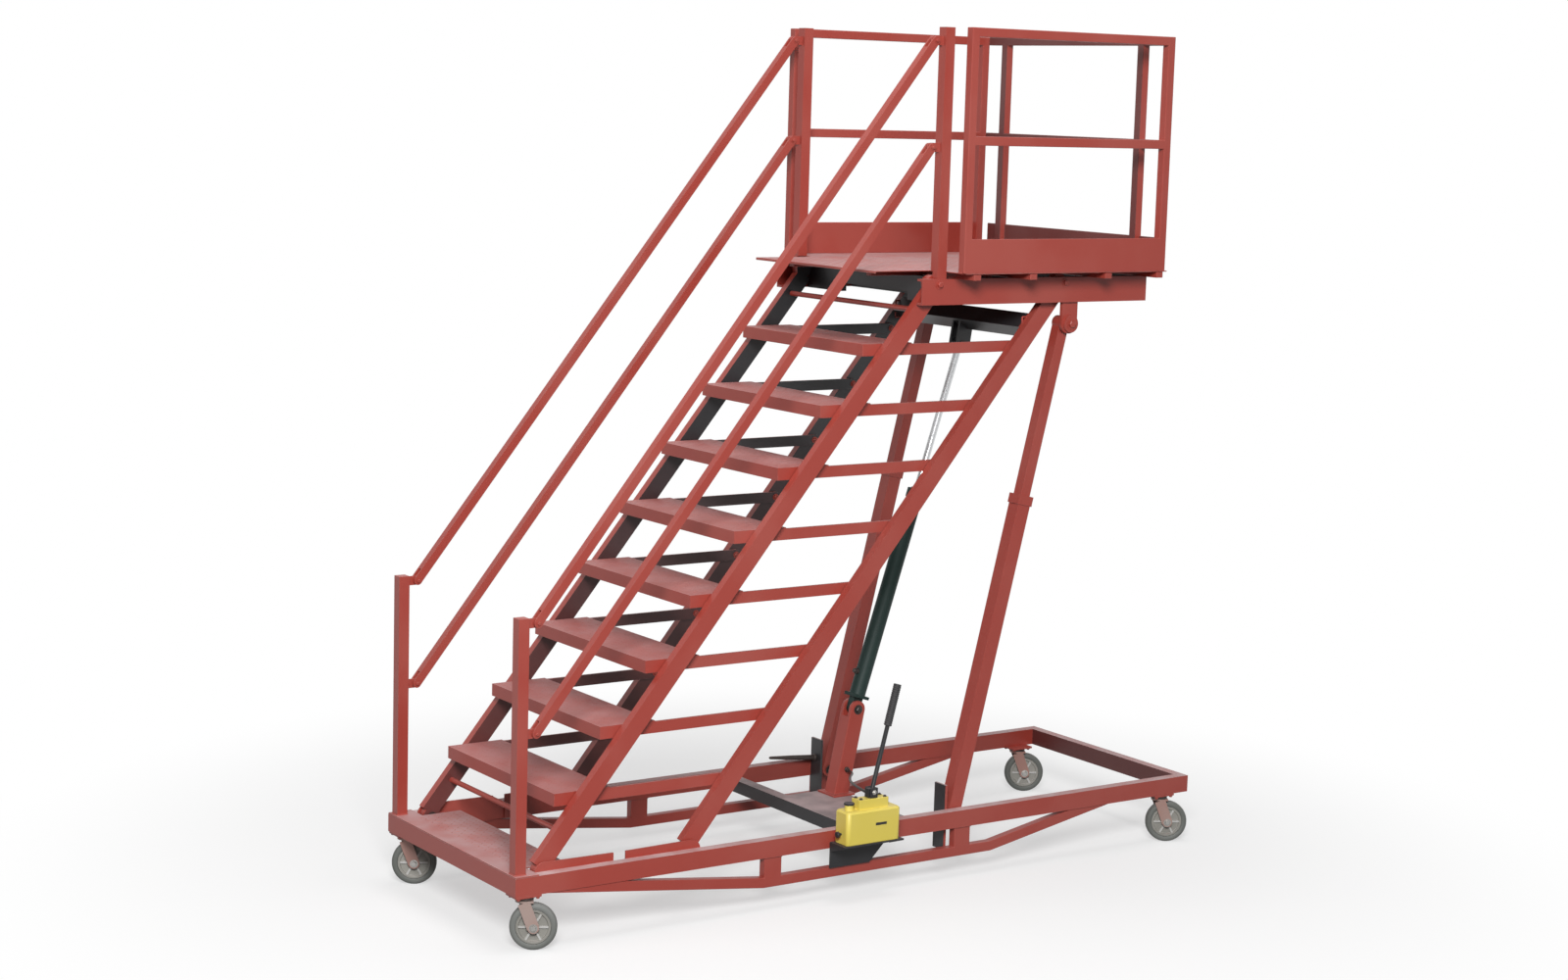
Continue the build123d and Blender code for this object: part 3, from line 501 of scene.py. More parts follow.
# Paint of each material slot, and of the nodes that depart from their slot
SLOT_PAINT = {
    "red": red_paint, "yellow": yellow_paint, "black": black_paint, "green": green_paint,
    "rod": chrome_rod, "tyre": tyre_rubber, "hub": hub_paint_and_shade,
}
OWN_PAINT = {
    "landing_plate": deck_paint, "platform_deck": deck_paint,
    **{f"fork_{corner}": fork_paint for corner in CORNERS},
}
# Nodes that take black painted shade in part: name of the material, main paint, box and inner faces
PAINTED_SHADE = {
    "base_frame": ("base_paint_and_shade", rail_paint, MID_BEAM_SHADE_BOX, BASE_INSIDE_SHADE),
    "stringers_lower": ("lift_beam_paint_and_shade", red_paint, LIFT_BEAM_SHADE_BOX, STAIR_INSIDE_SHADE),
    "stringers_upper": ("stringer_paint_and_shade", red_paint, None, STAIR_INSIDE_SHADE),
    "platform_frame": ("deck_beam_paint_and_shade", red_paint, DECK_BEAM_SHADE_BOX, None),
    "guard_front": ("front_guard_paint_and_shade", red_paint, None, GUARD_INSIDE_SHADE),
    **{f"tread_{number}": ("tread_paint_and_shade", walked_red_paint, None, STAIR_INSIDE_SHADE) for number in STEPS},
}


# Meshes


def new_piece(name, mesh):
    piece = bpy.data.objects.new(name, mesh)
    bpy.context.scene.collection.objects.link(piece)
    return piece


def finished(piece, body):
    """Piece that rides on a body."""
    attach(piece, body)
    return piece


def mesh_piece(name, bm, material, smooth_deg):
    """Object from a closed bmesh, smooth except over sharp edges."""
    bmesh.ops.remove_doubles(bm, verts=bm.verts, dist=1e-6)
    bmesh.ops.recalc_face_normals(bm, faces=bm.faces)
    mesh = bpy.data.meshes.new(name)
    bm.to_mesh(mesh)
    bm.free()
    mesh.polygons.foreach_set("use_smooth", [True] * len(mesh.polygons))
    mesh.set_sharp_from_angle(angle=math.radians(smooth_deg))
    mesh.materials.append(material)
    return new_piece(name, mesh)


def turned(bm, profile, place, count):
    """Solid of revolution: (radius, height) pairs from end to end, about the local Z of a matrix."""
    angles = [FULL_TURN * i / count for i in range(count)]
    rings = []
    for radius, height in profile:
        points = [(radius * math.cos(angle), radius * math.sin(angle), height) for angle in angles]
        rings.append([bm.verts.new(place @ Vector(point)) for point in (points if radius else points[:1])])
    for low, high in zip(rings, rings[1:]):
        for i in range(count):
            j = i + 1
            corners = (low[i % len(low)], low[j % len(low)], high[j % len(high)], high[i % len(high)])
            unique = list(dict.fromkeys(corners))
            if len(unique) > 2:
                bm.faces.new(unique)


def turned_piece(name, body, material, turns, count, smooth_deg=30):
    """One piece from turned solids, each a profile and its place."""
    bm = bmesh.new()
    for profile, place in turns:
        turned(bm, profile, place, count)
    return finished(mesh_piece(name, bm, material, smooth_deg), body)


def boxed_piece(name, body, material, boxes, radius):
    """One piece from boxes with rounded edges, each between two corners."""
    bm = bmesh.new()
    for low, high in boxes:
        size = Vector(high) - Vector(low)
        middle = (Vector(high) + Vector(low)) / 2
        made = bmesh.ops.create_cube(bm, size=1.0)["verts"]
        for vert in made:
            vert.co = vert.co * size + middle
        edges = list(dict.fromkeys(edge for vert in made for edge in vert.link_edges))
        bmesh.ops.bevel(bm, geom=edges, offset=radius, segments=3, profile=0.5, affect="EDGES",
                        clamp_overlap=True)
    finished(mesh_piece(name, bm, material, smooth_deg=30), body)


def facing_matrix(origin, direction):
    """Matrix whose local Z runs along a direction from an origin."""
    return Matrix.Translation(origin) @ direction.to_track_quat("Z", "Y").to_matrix().to_4x4()


def plain_mesh(piece):
    """Mesh of a piece as its modifiers or its curve leave it."""
    bpy.context.view_layer.update()
    return bpy.data.meshes.new_from_object(piece.evaluated_get(bpy.context.evaluated_depsgraph_get()))


# Geometry node trees


def geometry_tree(name, **inputs):
    """Tree with named inputs, and the outputs of its group input."""
    tree = bpy.data.node_groups.new(name, "GeometryNodeTree")
    add_sockets(tree, "INPUT", Geometry="Geometry", **inputs, Material="Material")
    add_sockets(tree, "OUTPUT", Geometry="Geometry")
    return tree, add_node(tree, "NodeGroupInput").outputs


def finish_tree(tree, geometry, given):
    """Ends a tree in Realize Instances and Set Material."""
    real = add_node(tree, "GeometryNodeRealizeInstances", Geometry=geometry).outputs[0]
    painted = add_node(tree, "GeometryNodeSetMaterial", Geometry=real, Material=given["Material"])
    add_node(tree, "NodeGroupOutput", Geometry=painted.outputs[0])
    return tree


def bake_tree(piece, tree, **values):
    """Runs a tree on a piece with named inputs and keeps the result as a plain mesh."""
    modifier = piece.modifiers.new(tree.name, "NODES")
    modifier.node_group = tree
    sockets = {item.name: item.identifier for item in tree.interface.items_tree if item.in_out == "INPUT"}
    for key, value in values.items():
        modifier[sockets[key.replace("_", " ")]] = value
    mesh = plain_mesh(piece)
    piece.modifiers.remove(modifier)
    piece.data = mesh
    return piece


def transform_node(tree, geometry, **inputs):
    return add_node(tree, "GeometryNodeTransform", Geometry=geometry, **inputs).outputs[0]


def scatter_node(tree, points, instance, rotation):
    """One instance on each point."""
    return add_node(tree, "GeometryNodeInstanceOnPoints", Points=points, Instance=instance,
                    Rotation=rotation).outputs[0]


def aim_node(tree, axis, vector):
    """Rotation that turns an axis along a vector."""
    return add_node(tree, "FunctionNodeAlignRotationToVector", {"axis": axis}, Vector=vector).outputs[0]


def bolt_tree():
    """Hexagon heads with washers on the points of a mesh, along the attribute called facing."""
    tree = bpy.data.node_groups.get("hex_bolts")
    if tree:
        return tree
    tree, given = geometry_tree("hex_bolts", Head_Radius="Float", Head_Height="Float", Washer_Radius="Float",
                                Washer_Height="Float")
    radius, height, base = given["Head Radius"], given["Head Height"], given["Washer Height"]
    washer = add_node(tree, "GeometryNodeMeshCylinder", Vertices=20, Radius=given["Washer Radius"],
                      Depth=base)
    shank = math_node(tree, "MULTIPLY", height, 0.75)
    head = add_node(tree, "GeometryNodeMeshCone", Vertices=6, Radius_Top=radius, Radius_Bottom=radius,
                    Depth=shank)
    crown = add_node(tree, "GeometryNodeMeshCone", Vertices=6, Radius_Bottom=radius,
                     Radius_Top=math_node(tree, "MULTIPLY", radius, 0.82),
                     Depth=math_node(tree, "MULTIPLY", height, 0.25))
    lifts = (math_node(tree, "MULTIPLY", base, 0.5), base, math_node(tree, "ADD", shank, base))
    bolt = add_node(tree, "GeometryNodeJoinGeometry")
    for part, lift in zip((washer, head, crown), lifts):
        fill(bolt, Geometry=transform_node(tree, part.outputs["Mesh"], Translation=vector_node(tree, Z=lift)))
    facing = add_node(tree, "GeometryNodeInputNamedAttribute", {"data_type": "FLOAT_VECTOR"}, Name="facing")
    heads = scatter_node(tree, given["Geometry"], bolt.outputs[0], aim_node(tree, "Z", facing.outputs[0]))
    return finish_tree(tree, heads, given)


def lug_tree():
    """Rows of long low lugs, turned one way and the other, over a level rectangle."""
    tree = bpy.data.node_groups.get("tread_lugs")
    if tree:
        return tree
    tree, given = geometry_tree("tread_lugs", Size_X="Float", Size_Y="Float", Pitch="Float", Height="Float",
                                Centre="Vector")
    pitch = given["Pitch"]
    grid = add_node(tree, "GeometryNodeMeshGrid")
    for axis in "XY":
        count = math_node(tree, "FLOOR", math_node(tree, "DIVIDE", given[f"Size {axis}"], pitch))
        feed(grid.inputs[f"Vertices {axis}"], math_node(tree, "ADD", count, 1))
        feed(grid.inputs[f"Size {axis}"], math_node(tree, "MULTIPLY", count, pitch))
    place = split_node(tree, add_node(tree, "GeometryNodeInputPosition").outputs[0])
    steps = [math_node(tree, "ROUND", math_node(tree, "DIVIDE", place[axis], pitch)) for axis in "XY"]
    odd = math_node(tree, "PINGPONG", math_node(tree, "ADD", *steps), 1)
    turn = math_node(tree, "MULTIPLY_ADD", odd, math.pi / 2, math.pi / 4)
    cone = add_node(tree, "GeometryNodeMeshCone", Vertices=8, Radius_Top=0.55, Radius_Bottom=1.0,
                    Depth=given["Height"])
    half_length, half_width = (math_node(tree, "MULTIPLY", pitch, share) for share in (0.42, 0.11))
    scale = vector_node(tree, X=half_length, Y=half_width, Z=1)
    lug = transform_node(tree, cone.outputs["Mesh"], Scale=scale)
    rows = scatter_node(tree, grid.outputs["Mesh"], lug, vector_node(tree, Z=turn))
    return finish_tree(tree, transform_node(tree, rows, Translation=given["Centre"]), given)


def weld_tree():
    """Rippled beads along the edges of a mesh."""
    tree = bpy.data.node_groups.get("weld_beads")
    if tree:
        return tree
    tree, given = geometry_tree("weld_beads", Radius="Float", Ripple="Float")
    path = add_node(tree, "GeometryNodeMeshToCurve", Mesh=given["Geometry"])
    dense = add_node(tree, "GeometryNodeResampleCurve", {"mode": "LENGTH"}, Curve=path.outputs[0],
                     Length=math_node(tree, "MULTIPLY", given["Ripple"], 0.5))
    along = add_node(tree, "GeometryNodeSplineParameter").outputs["Length"]
    turns = math_node(tree, "DIVIDE", along, given["Ripple"])
    wave = math_node(tree, "SINE", math_node(tree, "MULTIPLY", turns, FULL_TURN))
    bead = add_node(tree, "GeometryNodeSetCurveRadius", Curve=dense.outputs[0],
                    Radius=math_node(tree, "MULTIPLY_ADD", wave, 0.16, 1.0))
    profile = add_node(tree, "GeometryNodeCurvePrimitiveCircle", Resolution=7, Radius=given["Radius"])
    sweep = add_node(tree, "GeometryNodeCurveToMesh", Curve=bead.outputs[0],
                     Profile_Curve=profile.outputs["Curve"],
                     Scale=add_node(tree, "GeometryNodeInputRadius").outputs[0])
    smooth = add_node(tree, "GeometryNodeSetShadeSmooth", Geometry=sweep.outputs[0])
    return finish_tree(tree, smooth.outputs[0], given)


def rib_tree():
    """Radial ribs round a level axle, on both faces of a hub."""
    tree = bpy.data.node_groups.get("hub_ribs")
    if tree:
        return tree
    tree, given = geometry_tree("hub_ribs", Count="Int", Inner="Float", Outer="Float", Width="Float",
                                Depth="Float", Heading="Float", Centre="Vector")
    inner, outer = given["Inner"], given["Outer"]
    middle = math_node(tree, "MULTIPLY", math_node(tree, "ADD", inner, outer), 0.5)
    ring = add_node(tree, "GeometryNodeMeshCircle", Vertices=given["Count"], Radius=middle)
    size = vector_node(tree, X=math_node(tree, "SUBTRACT", outer, inner), Y=given["Width"], Z=given["Depth"])
    rib = add_node(tree, "GeometryNodeMeshCube", Size=size)
    outward = aim_node(tree, "X", add_node(tree, "GeometryNodeInputPosition").outputs[0])
    ribs = scatter_node(tree, ring.outputs[0], rib.outputs["Mesh"], outward)
    stood = transform_node(tree, ribs, Translation=given["Centre"],
                           Rotation=vector_node(tree, X=math.pi / 2, Z=given["Heading"]))
    return finish_tree(tree, stood, given)


def bolts(name, body, points, size, material):
    """Bolt heads of one size, each at a point and facing a direction."""
    mesh = bpy.data.meshes.new(name)
    mesh.from_pydata([place for place, _ in points], [], [])
    facing = mesh.attributes.new("facing", "FLOAT_VECTOR", "POINT")
    for item, (_, direction) in zip(facing.data, points):
        item.vector = direction
    radius, height, washer = size
    piece = bake_tree(new_piece(name, mesh), bolt_tree(), Head_Radius=radius, Head_Height=height,
                      Washer_Radius=washer, Washer_Height=WASHER_HEIGHT, Material=material)
    finished(piece, body)


def welds(name, body, loops):
    """Beads along closed or open chains of points."""
    verts, edges = [], []
    for points, closed in loops:
        start, count = len(verts), len(points)
        verts.extend(points)
        edges.extend((start + i, start + (i + 1) % count) for i in range(count if closed else count - 1))
    mesh = bpy.data.meshes.new(name)
    mesh.from_pydata(verts, edges, [])
    piece = bake_tree(new_piece(name, mesh), weld_tree(), Radius=detail_settings().weld, Ripple=WELD_RIPPLE,
                      Material=red_paint())
    finished(piece, body)


def rectangle(low, high):
    return (low[0], low[1]), (high[0], low[1]), (high[0], high[1]), (low[0], high[1])


def level_loop(x, y, half_x, half_y, z):
    """Closed chain round a post at one height."""
    return [(a, b, z) for a, b in rectangle((x - half_x, y - half_y), (x + half_x, y + half_y))], True


def upright_loop(y, low, high):
    """Closed chain round a beam where it meets an upright face."""
    return [(x, y, z) for x, z in rectangle(low, high)], True


# Operators, one for each group of pieces


class PLATFORM_OT_paint(bpy.types.Operator):
    """Paint every CAD node and round its edges"""

    bl_idname = "platform.paint"
    bl_label = "Paint Frame"

    MODIFIERS = (
        ("weld", "WELD", {"merge_threshold": 1e-5}),
        ("flat", "DECIMATE", {"decimate_type": "DISSOLVE", "angle_limit": math.radians(0.5)}),
        ("edge", "BEVEL", {"segments": 2, "limit_method": "ANGLE", "angle_limit": math.radians(50),
                           "use_clamp_overlap": True}),
    )

    def execute(self, context):
        slots = {row["node"]: row["material_slot"] for row in frame["record"]["subparts"]}
        for name, node in NODES.items():
            paint = OWN_PAINT.get(name, SLOT_PAINT[slots[name]])
            node.data.materials.clear()
            node.data.materials.append(painted_shade_copy(*PAINTED_SHADE[name]) if name in PAINTED_SHADE else paint())
            for label, kind, settings in self.MODIFIERS:
                modifier = node.modifiers.new(label, kind)
                for key, value in settings.items():
                    setattr(modifier, key, value)
            node.modifiers["edge"].width = FINE_EDGED.get(name, detail_settings().edge)
        return {"FINISHED"}


class PLATFORM_OT_lugs(bpy.types.Operator):
    """Add anti-slip lugs to the treads, the landing and the deck"""

    bl_idname = "platform.lugs"
    bl_label = "Anti-slip Lugs"

    MARGIN = 0.022
    SINK = 0.0002

    def cover(self, name, body, start, end, half, top):
        """Lugs over a level plate, from start to end and half its width to each side."""
        settings = detail_settings()
        centre = Vector(((start + end) / 2, 0, top - self.SINK))
        piece = bake_tree(new_piece(name, bpy.data.meshes.new(name)), lug_tree(),
                          Size_X=end - start - 2 * self.MARGIN, Size_Y=2 * (half - self.MARGIN),
                          Pitch=settings.lug_pitch, Height=settings.lug_height, Centre=centre,
                          Material=walked_red_paint())
        finished(piece, body)

    def execute(self, context):
        for number in STEPS:
            low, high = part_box(f"tread_{number}")
            self.cover(f"tread_{number}_lugs", f"step_{number}", low.x, low.x + TREAD_DEPTH,
                       high.y - TREAD_ARM, high.z)
        low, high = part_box("landing_plate")
        self.cover("landing_lugs", "base", low.x + LANDING_BARE, high.x, LUGGED_HALF, high.z)
        low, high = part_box("platform_deck")
        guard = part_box("guard_front")[0].x
        self.cover("deck_lugs", "platform", low.x, guard, LUGGED_HALF, high.z)
        return {"FINISHED"}


class PLATFORM_OT_fasteners(bpy.types.Operator):
    """Add bolt heads at the pins of the stair, handrails, platform, props and cylinder"""

    bl_idname = "platform.fasteners"
    bl_label = "Fasteners"

    def pair(self, place, face, outward=1):
        """The same fastener on both sides of the platform, at one distance from its middle."""
        return [(Vector((place.x, side * face, place.z)), Vector((0, side * outward, 0))) for side in SIDES]

    def execute(self, context):
        paint, steel = red_paint(), dark_steel()
        head = PIVOTS["platform_level"]
        points = self.pair(head, BEAM_FACE) + self.pair(head + STRINGER_STEP, BEAM_FACE)
        bolts("beam_bolts", "platform", points, BEAM_BOLT, paint)
        bolts("prop_head_bolts", "platform", self.pair(PROP_HEAD, PROP_BOSS), PROP_BOLT, paint)
        points = self.pair(PIVOTS["lift"], PIN_END, -1)
        points += self.pair(PIVOTS["lower_stringer_swing"], PIN_END, -1)
        points += self.pair(PIVOTS["prop_swing"], PROP_PIN_END, -1)
        bolts("foot_bolts", "base", points, FOOT_BOLT, steel)
        for number in STEPS:
            points = self.pair(PIVOTS[f"step_{number}_level"] + STRINGER_STEP, ARM_IN, -1)
            bolts(f"step_{number}_bolts", f"step_{number}", points, STEP_BOLT, paint)
        for level in ("top", "mid"):
            pivot = PIVOTS[f"{level}_handrail_swing"]
            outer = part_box(f"handrails_{level}")[1].y
            points = []
            for end in (pivot, pivot + LINK):
                points += self.pair(end, outer) + self.pair(end, outer - RAIL_TUBE, -1)
            bolts(f"{level}_handrail_bolts", f"{level}_handrails", points, HANDRAIL_BOLT, paint)
        points = self.pair(PIVOTS["cylinder_swing"], PEDESTAL_HALF)
        bolts("pedestal_bolts", "base", points, CYLINDER_BOLT, steel)
        bolts("rod_eye_bolts", "lower_stringers", self.pair(ROD_EYE, EYE_FACE), CYLINDER_BOLT, steel)
        return {"FINISHED"}


class PLATFORM_OT_casters(bpy.types.Operator):
    """Turn moulded tyres and add hub ribs, axle nuts, swivel races and plate bolts"""

    bl_idname = "platform.casters"
    bl_label = "Casters"

    HALF_TYRE = ((0.0745, -0.0215), (0.0790, -0.0238), (0.0880, -0.0240), (0.0945, -0.0222),
                 (0.0982, -0.0175), (0.0996, -0.0110), (0.1000, -0.0040))
    TREAD_MIDDLE = (0.1000, 0.0)
    RACE = ((0.0, 0.2145), (0.0390, 0.2145), (0.0402, 0.2165), (0.0402, 0.2205), (0.0385, 0.2225),
            (0.0402, 0.2245), (0.0402, 0.2268), (0.0, 0.2268))
    RIBS = {"Count": 6, "Inner": 0.018, "Outer": 0.0635, "Width": 0.009, "Depth": 0.0385}
    PLATE_BOLT = (0.046, 0.034)

    def execute(self, context):
        other_half = tuple((radius, -height) for radius, height in reversed(self.HALF_TYRE))
        rim = self.HALF_TYRE + (self.TREAD_MIDDLE,) + other_half + self.HALF_TYRE[:1]
        along, across = self.PLATE_BOLT
        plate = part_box("caster_plates")[0].z
        for corner in CORNERS:
            wheel, caster = f"wheel_{corner}", f"caster_{corner}"
            centre, axis = PIVOTS[f"roll_{corner}"], AXLES[f"roll_{corner}"]
            tyre = turned_piece(f"tyre_{corner}_moulded", wheel, tyre_rubber(),
                                [(rim, facing_matrix(centre, axis))], count=64, smooth_deg=60)
            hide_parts(f"tyre_{corner}")
            ribs = new_piece(f"hub_{corner}_ribs", bpy.data.meshes.new("ribs"))
            bake_tree(ribs, rib_tree(), **self.RIBS, Heading=math.atan2(-axis.x, axis.y), Centre=centre,
                      Material=lit_rib_paint())
            finished(ribs, wheel)
            points = [(centre + side * FORK_FACE * axis, side * axis) for side in SIDES]
            bolts(f"axle_nuts_{corner}", caster, points, AXLE_NUT, zinc_plate())
            pivot = PIVOTS[f"swivel_{corner}"]
            turned_piece(f"swivel_race_{corner}", caster, dark_steel(),
                         [(self.RACE, Matrix.Translation((pivot.x, pivot.y, 0)))], count=48)
            points = [(Vector((pivot.x + a * along, pivot.y + b * across, plate)), DOWN)
                      for a in SIDES for b in SIDES]
            bolts(f"caster_bolts_{corner}", "base", points, CASTER_BOLT, red_paint())
        return {"FINISHED"}


class PLATFORM_OT_pump(bpy.types.Operator):
    """Add the pump's cap, valve knob, clevis, front slot and ribbed grip"""

    bl_idname = "platform.pump"
    bl_label = "Pump Fittings"

    CAP = ((0.0, 0.0), (0.0235, 0.0), (0.0240, 0.001), (0.0240, 0.007), (0.0225, 0.0085), (0.0130, 0.0085),
           (0.0115, 0.0070), (0.0, 0.0070))
    KNOB = ((0.0, -0.002), (0.0065, -0.002), (0.0065, 0.010), (0.0130, 0.012), (0.0140, 0.014),
            (0.0140, 0.022), (0.0125, 0.024), (0.0, 0.024))
    KNOB_HEIGHT = 0.045
    SLOT_HALF = Vector((0.030, 0, 0.006))
    SLOT_PROUD = 0.0015
    SLOT_SUNK = 0.002
    CHEEK = 0.019
    CHEEK_HALF = (0.020, 0.0035)
    CHEEK_FOOT = -0.004
    CHEEK_TOP = 0.046
    CLEVIS_PIN = 0.026
    SCREW_OFFSET = 0.020
    GRIP_LENGTH = 0.190
    GRIP_FOOT = ((0.0, 0.001), (0.0150, 0.001))
    GRIP_RIB = ((0.0164, 0.002), (0.0184, 0.004), (0.0184, 0.0075), (0.0164, 0.0095))
    GRIP_PITCH = 0.0095
    GRIP_END = ((0.0180, -0.004), (0.0165, 0.0), (0.0, 0.001))

    def grip(self):
        """Ribbed sleeve over the end of the lever."""
        along = (LEVER_END - LEVER_FOOT).normalized()
        profile = list(self.GRIP_FOOT)
        for i in range(int(self.GRIP_LENGTH / self.GRIP_PITCH) - 1):
            profile += [(radius, height + i * self.GRIP_PITCH) for radius, height in self.GRIP_RIB]
        profile += [(radius, self.GRIP_LENGTH + height) for radius, height in self.GRIP_END]
        grip = [(profile, facing_matrix(LEVER_END - along * self.GRIP_LENGTH, along))]
        turned_piece("lever_grip", "base", grip_rubber(), grip, count=28, smooth_deg=40)

    def execute(self, context):
        paint = black_paint()
        low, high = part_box("pump_body")
        middle = (low.y + high.y) / 2
        place = Matrix.Translation((FILLER.x, middle, FILLER.z))
        turned_piece("filler_cap", "base", paint, [(self.CAP, place)], count=28)
        place = facing_matrix(Vector((low.x, middle, low.z + self.KNOB_HEIGHT)), Vector((-1, 0, 0)))
        turned_piece("valve_knob", "base", paint, [(self.KNOB, place)], count=24)

        corners = [FRONT_SLOT - self.SLOT_HALF, FRONT_SLOT + self.SLOT_HALF]
        corners[0].y, corners[1].y = low.y - self.SLOT_PROUD, low.y + self.SLOT_SUNK
        boxed_piece("front_slot", "base", paint, [corners], radius=0.0012)
        half_length, half_width = self.CHEEK_HALF
        foot, top = HEAD_TOP + self.CHEEK_FOOT, HEAD_TOP + self.CHEEK_TOP
        cheeks = [middle + side * self.CHEEK for side in SIDES]
        boxes = [((LEVER_FOOT.x - half_length, cheek - half_width, foot),
                  (LEVER_FOOT.x + half_length, cheek + half_width, top)) for cheek in cheeks]
        boxed_piece("lever_clevis", "base", paint, boxes, radius=0.003)

        face = self.CHEEK + half_width
        pin = HEAD_TOP + self.CLEVIS_PIN
        points = [(Vector((LEVER_FOOT.x, middle + side * face, pin)), Vector((0, side, 0))) for side in SIDES]
        bolts("clevis_bolts", "base", points, CLEVIS_BOLT, zinc_plate())
        points = [(Vector((x, middle + side * self.SCREW_OFFSET, HEAD_TOP)), UP)
                  for x in HEAD_SCREWS for side in SIDES]
        bolts("head_screws", "base", points, HEAD_SCREW, dark_steel())
        self.grip()
        return {"FINISHED"}


class PLATFORM_OT_pipe(bpy.types.Operator):
    """Lay the steel pipe from the pump to the cylinder's pedestal, with its unions"""

    bl_idname = "platform.pipe"
    bl_label = "Hydraulic Pipe"

    UNION = ((0.0, -0.002), (0.0130, -0.002), (0.0130, 0.010), (0.0105, 0.012), (0.0105, 0.022),
             (0.0085, 0.024), (0.0, 0.024))

    def execute(self, context):
        route = bpy.data.curves.new("steel_pipe", "CURVE")
        route.dimensions = "3D"
        route.bevel_depth = detail_settings().pipe
        route.bevel_resolution = 4
        route.use_fill_caps = True
        spline = route.splines.new("NURBS")
        spline.points.add(len(PIPE_ROUTE) - 1)
        for point, place in zip(spline.points, PIPE_ROUTE):
            point.co = (*place, 1)
        spline.order_u = 3
        spline.use_endpoint_u = True
        spline.resolution_u = 8
        draft = new_piece("steel_pipe_route", route)
        bm = bmesh.new()
        bm.from_mesh(plain_mesh(draft))
        bpy.data.objects.remove(draft)
        finished(mesh_piece("steel_pipe", bm, dark_steel(), smooth_deg=50), "base")
        ends = [[Vector(PIPE_ROUTE[i]) for i in pair] for pair in ((0, 1), (-1, -2))]
        unions = [(self.UNION, facing_matrix(end, (inner - end).normalized())) for end, inner in ends]
        turned_piece("pipe_unions", "base", dark_steel(), unions, count=6)
        return {"FINISHED"}


class PLATFORM_OT_lock_pin(bpy.types.Operator):
    """Add the tapered lock pin at the foot of the far prop"""

    bl_idname = "platform.lock_pin"
    bl_label = "Lock Pin"

    COLLAR = ((0.0, -0.004), (0.0170, -0.004), (0.0170, 0.010), (0.0130, 0.014))

    def execute(self, context):
        start, end = LOCK_PIN
        length = (end - start).length
        taper = ((0.0115, length * 0.5), (0.0070, length - 0.006), (0.0045, length), (0.0, length))
        pin = [(self.COLLAR + taper, facing_matrix(start, (end - start).normalized()))]
        turned_piece("lock_pin", "base", dark_steel(), pin, count=20, smooth_deg=40)
        return {"FINISHED"}


class PLATFORM_OT_cylinder(bpy.types.Operator):
    """Add the wiper and the ports of the lift cylinder"""

    bl_idname = "platform.cylinder"
    bl_label = "Cylinder Fittings"

    WIPER = ((0.0175, -0.002), (0.0300, -0.002), (0.0300, 0.004), (0.0215, 0.0085), (0.0175, 0.0085),
             (0.0175, -0.002))
    PORT = ((0.0, -0.006), (0.0150, -0.006), (0.0150, 0.010), (0.0110, 0.012), (0.0110, 0.020),
            (0.0095, 0.022), (0.0, 0.022))
    PORT_SHARES = (0.16, 0.88)

    def execute(self, context):
        foot = PIVOTS["cylinder_swing"]
        along = (ROD_EYE - foot).normalized()
        across = Vector((along.z, 0, -along.x))
        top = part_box("cylinder_barrel")[1].z
        reach = (top - foot.z - GLAND_RADIUS * along.x) / along.z
        wiper = [(self.WIPER, facing_matrix(foot + along * reach, along))]
        turned_piece("rod_wiper", "lift_barrel", black_paint(), wiper, count=36)
        places = [foot + along * reach * share - across * BARREL_RADIUS for share in self.PORT_SHARES]
        ports = [(self.PORT, facing_matrix(place, -across)) for place in places]
        turned_piece("cylinder_ports", "lift_barrel", dark_steel(), ports, count=12)
        return {"FINISHED"}


class PLATFORM_OT_welds(bpy.types.Operator):
    """Run weld beads where the posts, rails and beams meet"""

    bl_idname = "platform.welds"
    bl_label = "Weld Beads"

    EDGE_GAP = 0.006

    def execute(self, context):
        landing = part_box("landing_plate")[1].z
        half = POST_HALF
        loops = [level_loop(ENTRY_POST.x, side * ENTRY_POST.y, half, half, landing) for side in SIDES]
        for side in SIDES:
            loops.append(upright_loop(side * RAIL_INNER, *MID_BEAM))
            loops += [level_loop(x, side * TRUSS_Y, *TRUSS_HALF, RAIL_BOTTOM) for x in TRUSS_POSTS]
        welds("base_welds", "base", loops)

        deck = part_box("platform_deck")[1].z
        loops = []
        for side in SIDES:
            outer, inner = side * (GUARD_Y + TUBE_HALF - self.EDGE_GAP), side * (GUARD_Y - TUBE_HALF)
            for x in GUARD_POSTS:
                start, end = x - TUBE_HALF, x + TUBE_HALF
                chain = ((start, outer), (start, inner), (end, inner), (end, outer))
                loops.append(([(a, b, deck) for a, b in chain], False))
        welds("platform_welds", "platform", loops)

        half = LIFT_BEAM_HALF
        low, high = (LIFT_BEAM.x - half, LIFT_BEAM.z - half), (LIFT_BEAM.x + half, LIFT_BEAM.z + half)
        loops = [upright_loop(side * STRINGER_IN, low, high) for side in SIDES]
        welds("lift_beam_welds", "lower_stringers", loops)
        return {"FINISHED"}


def seen_by_camera(tree):
    """1 for rays from the camera, also by way of gloss or glass."""
    path = add_node(tree, "ShaderNodeLightPath").outputs
    seen = math_node(tree, "MAXIMUM", path["Is Camera Ray"], path["Is Glossy Ray"])
    return math_node(tree, "MAXIMUM", seen, path["Is Transmission Ray"])


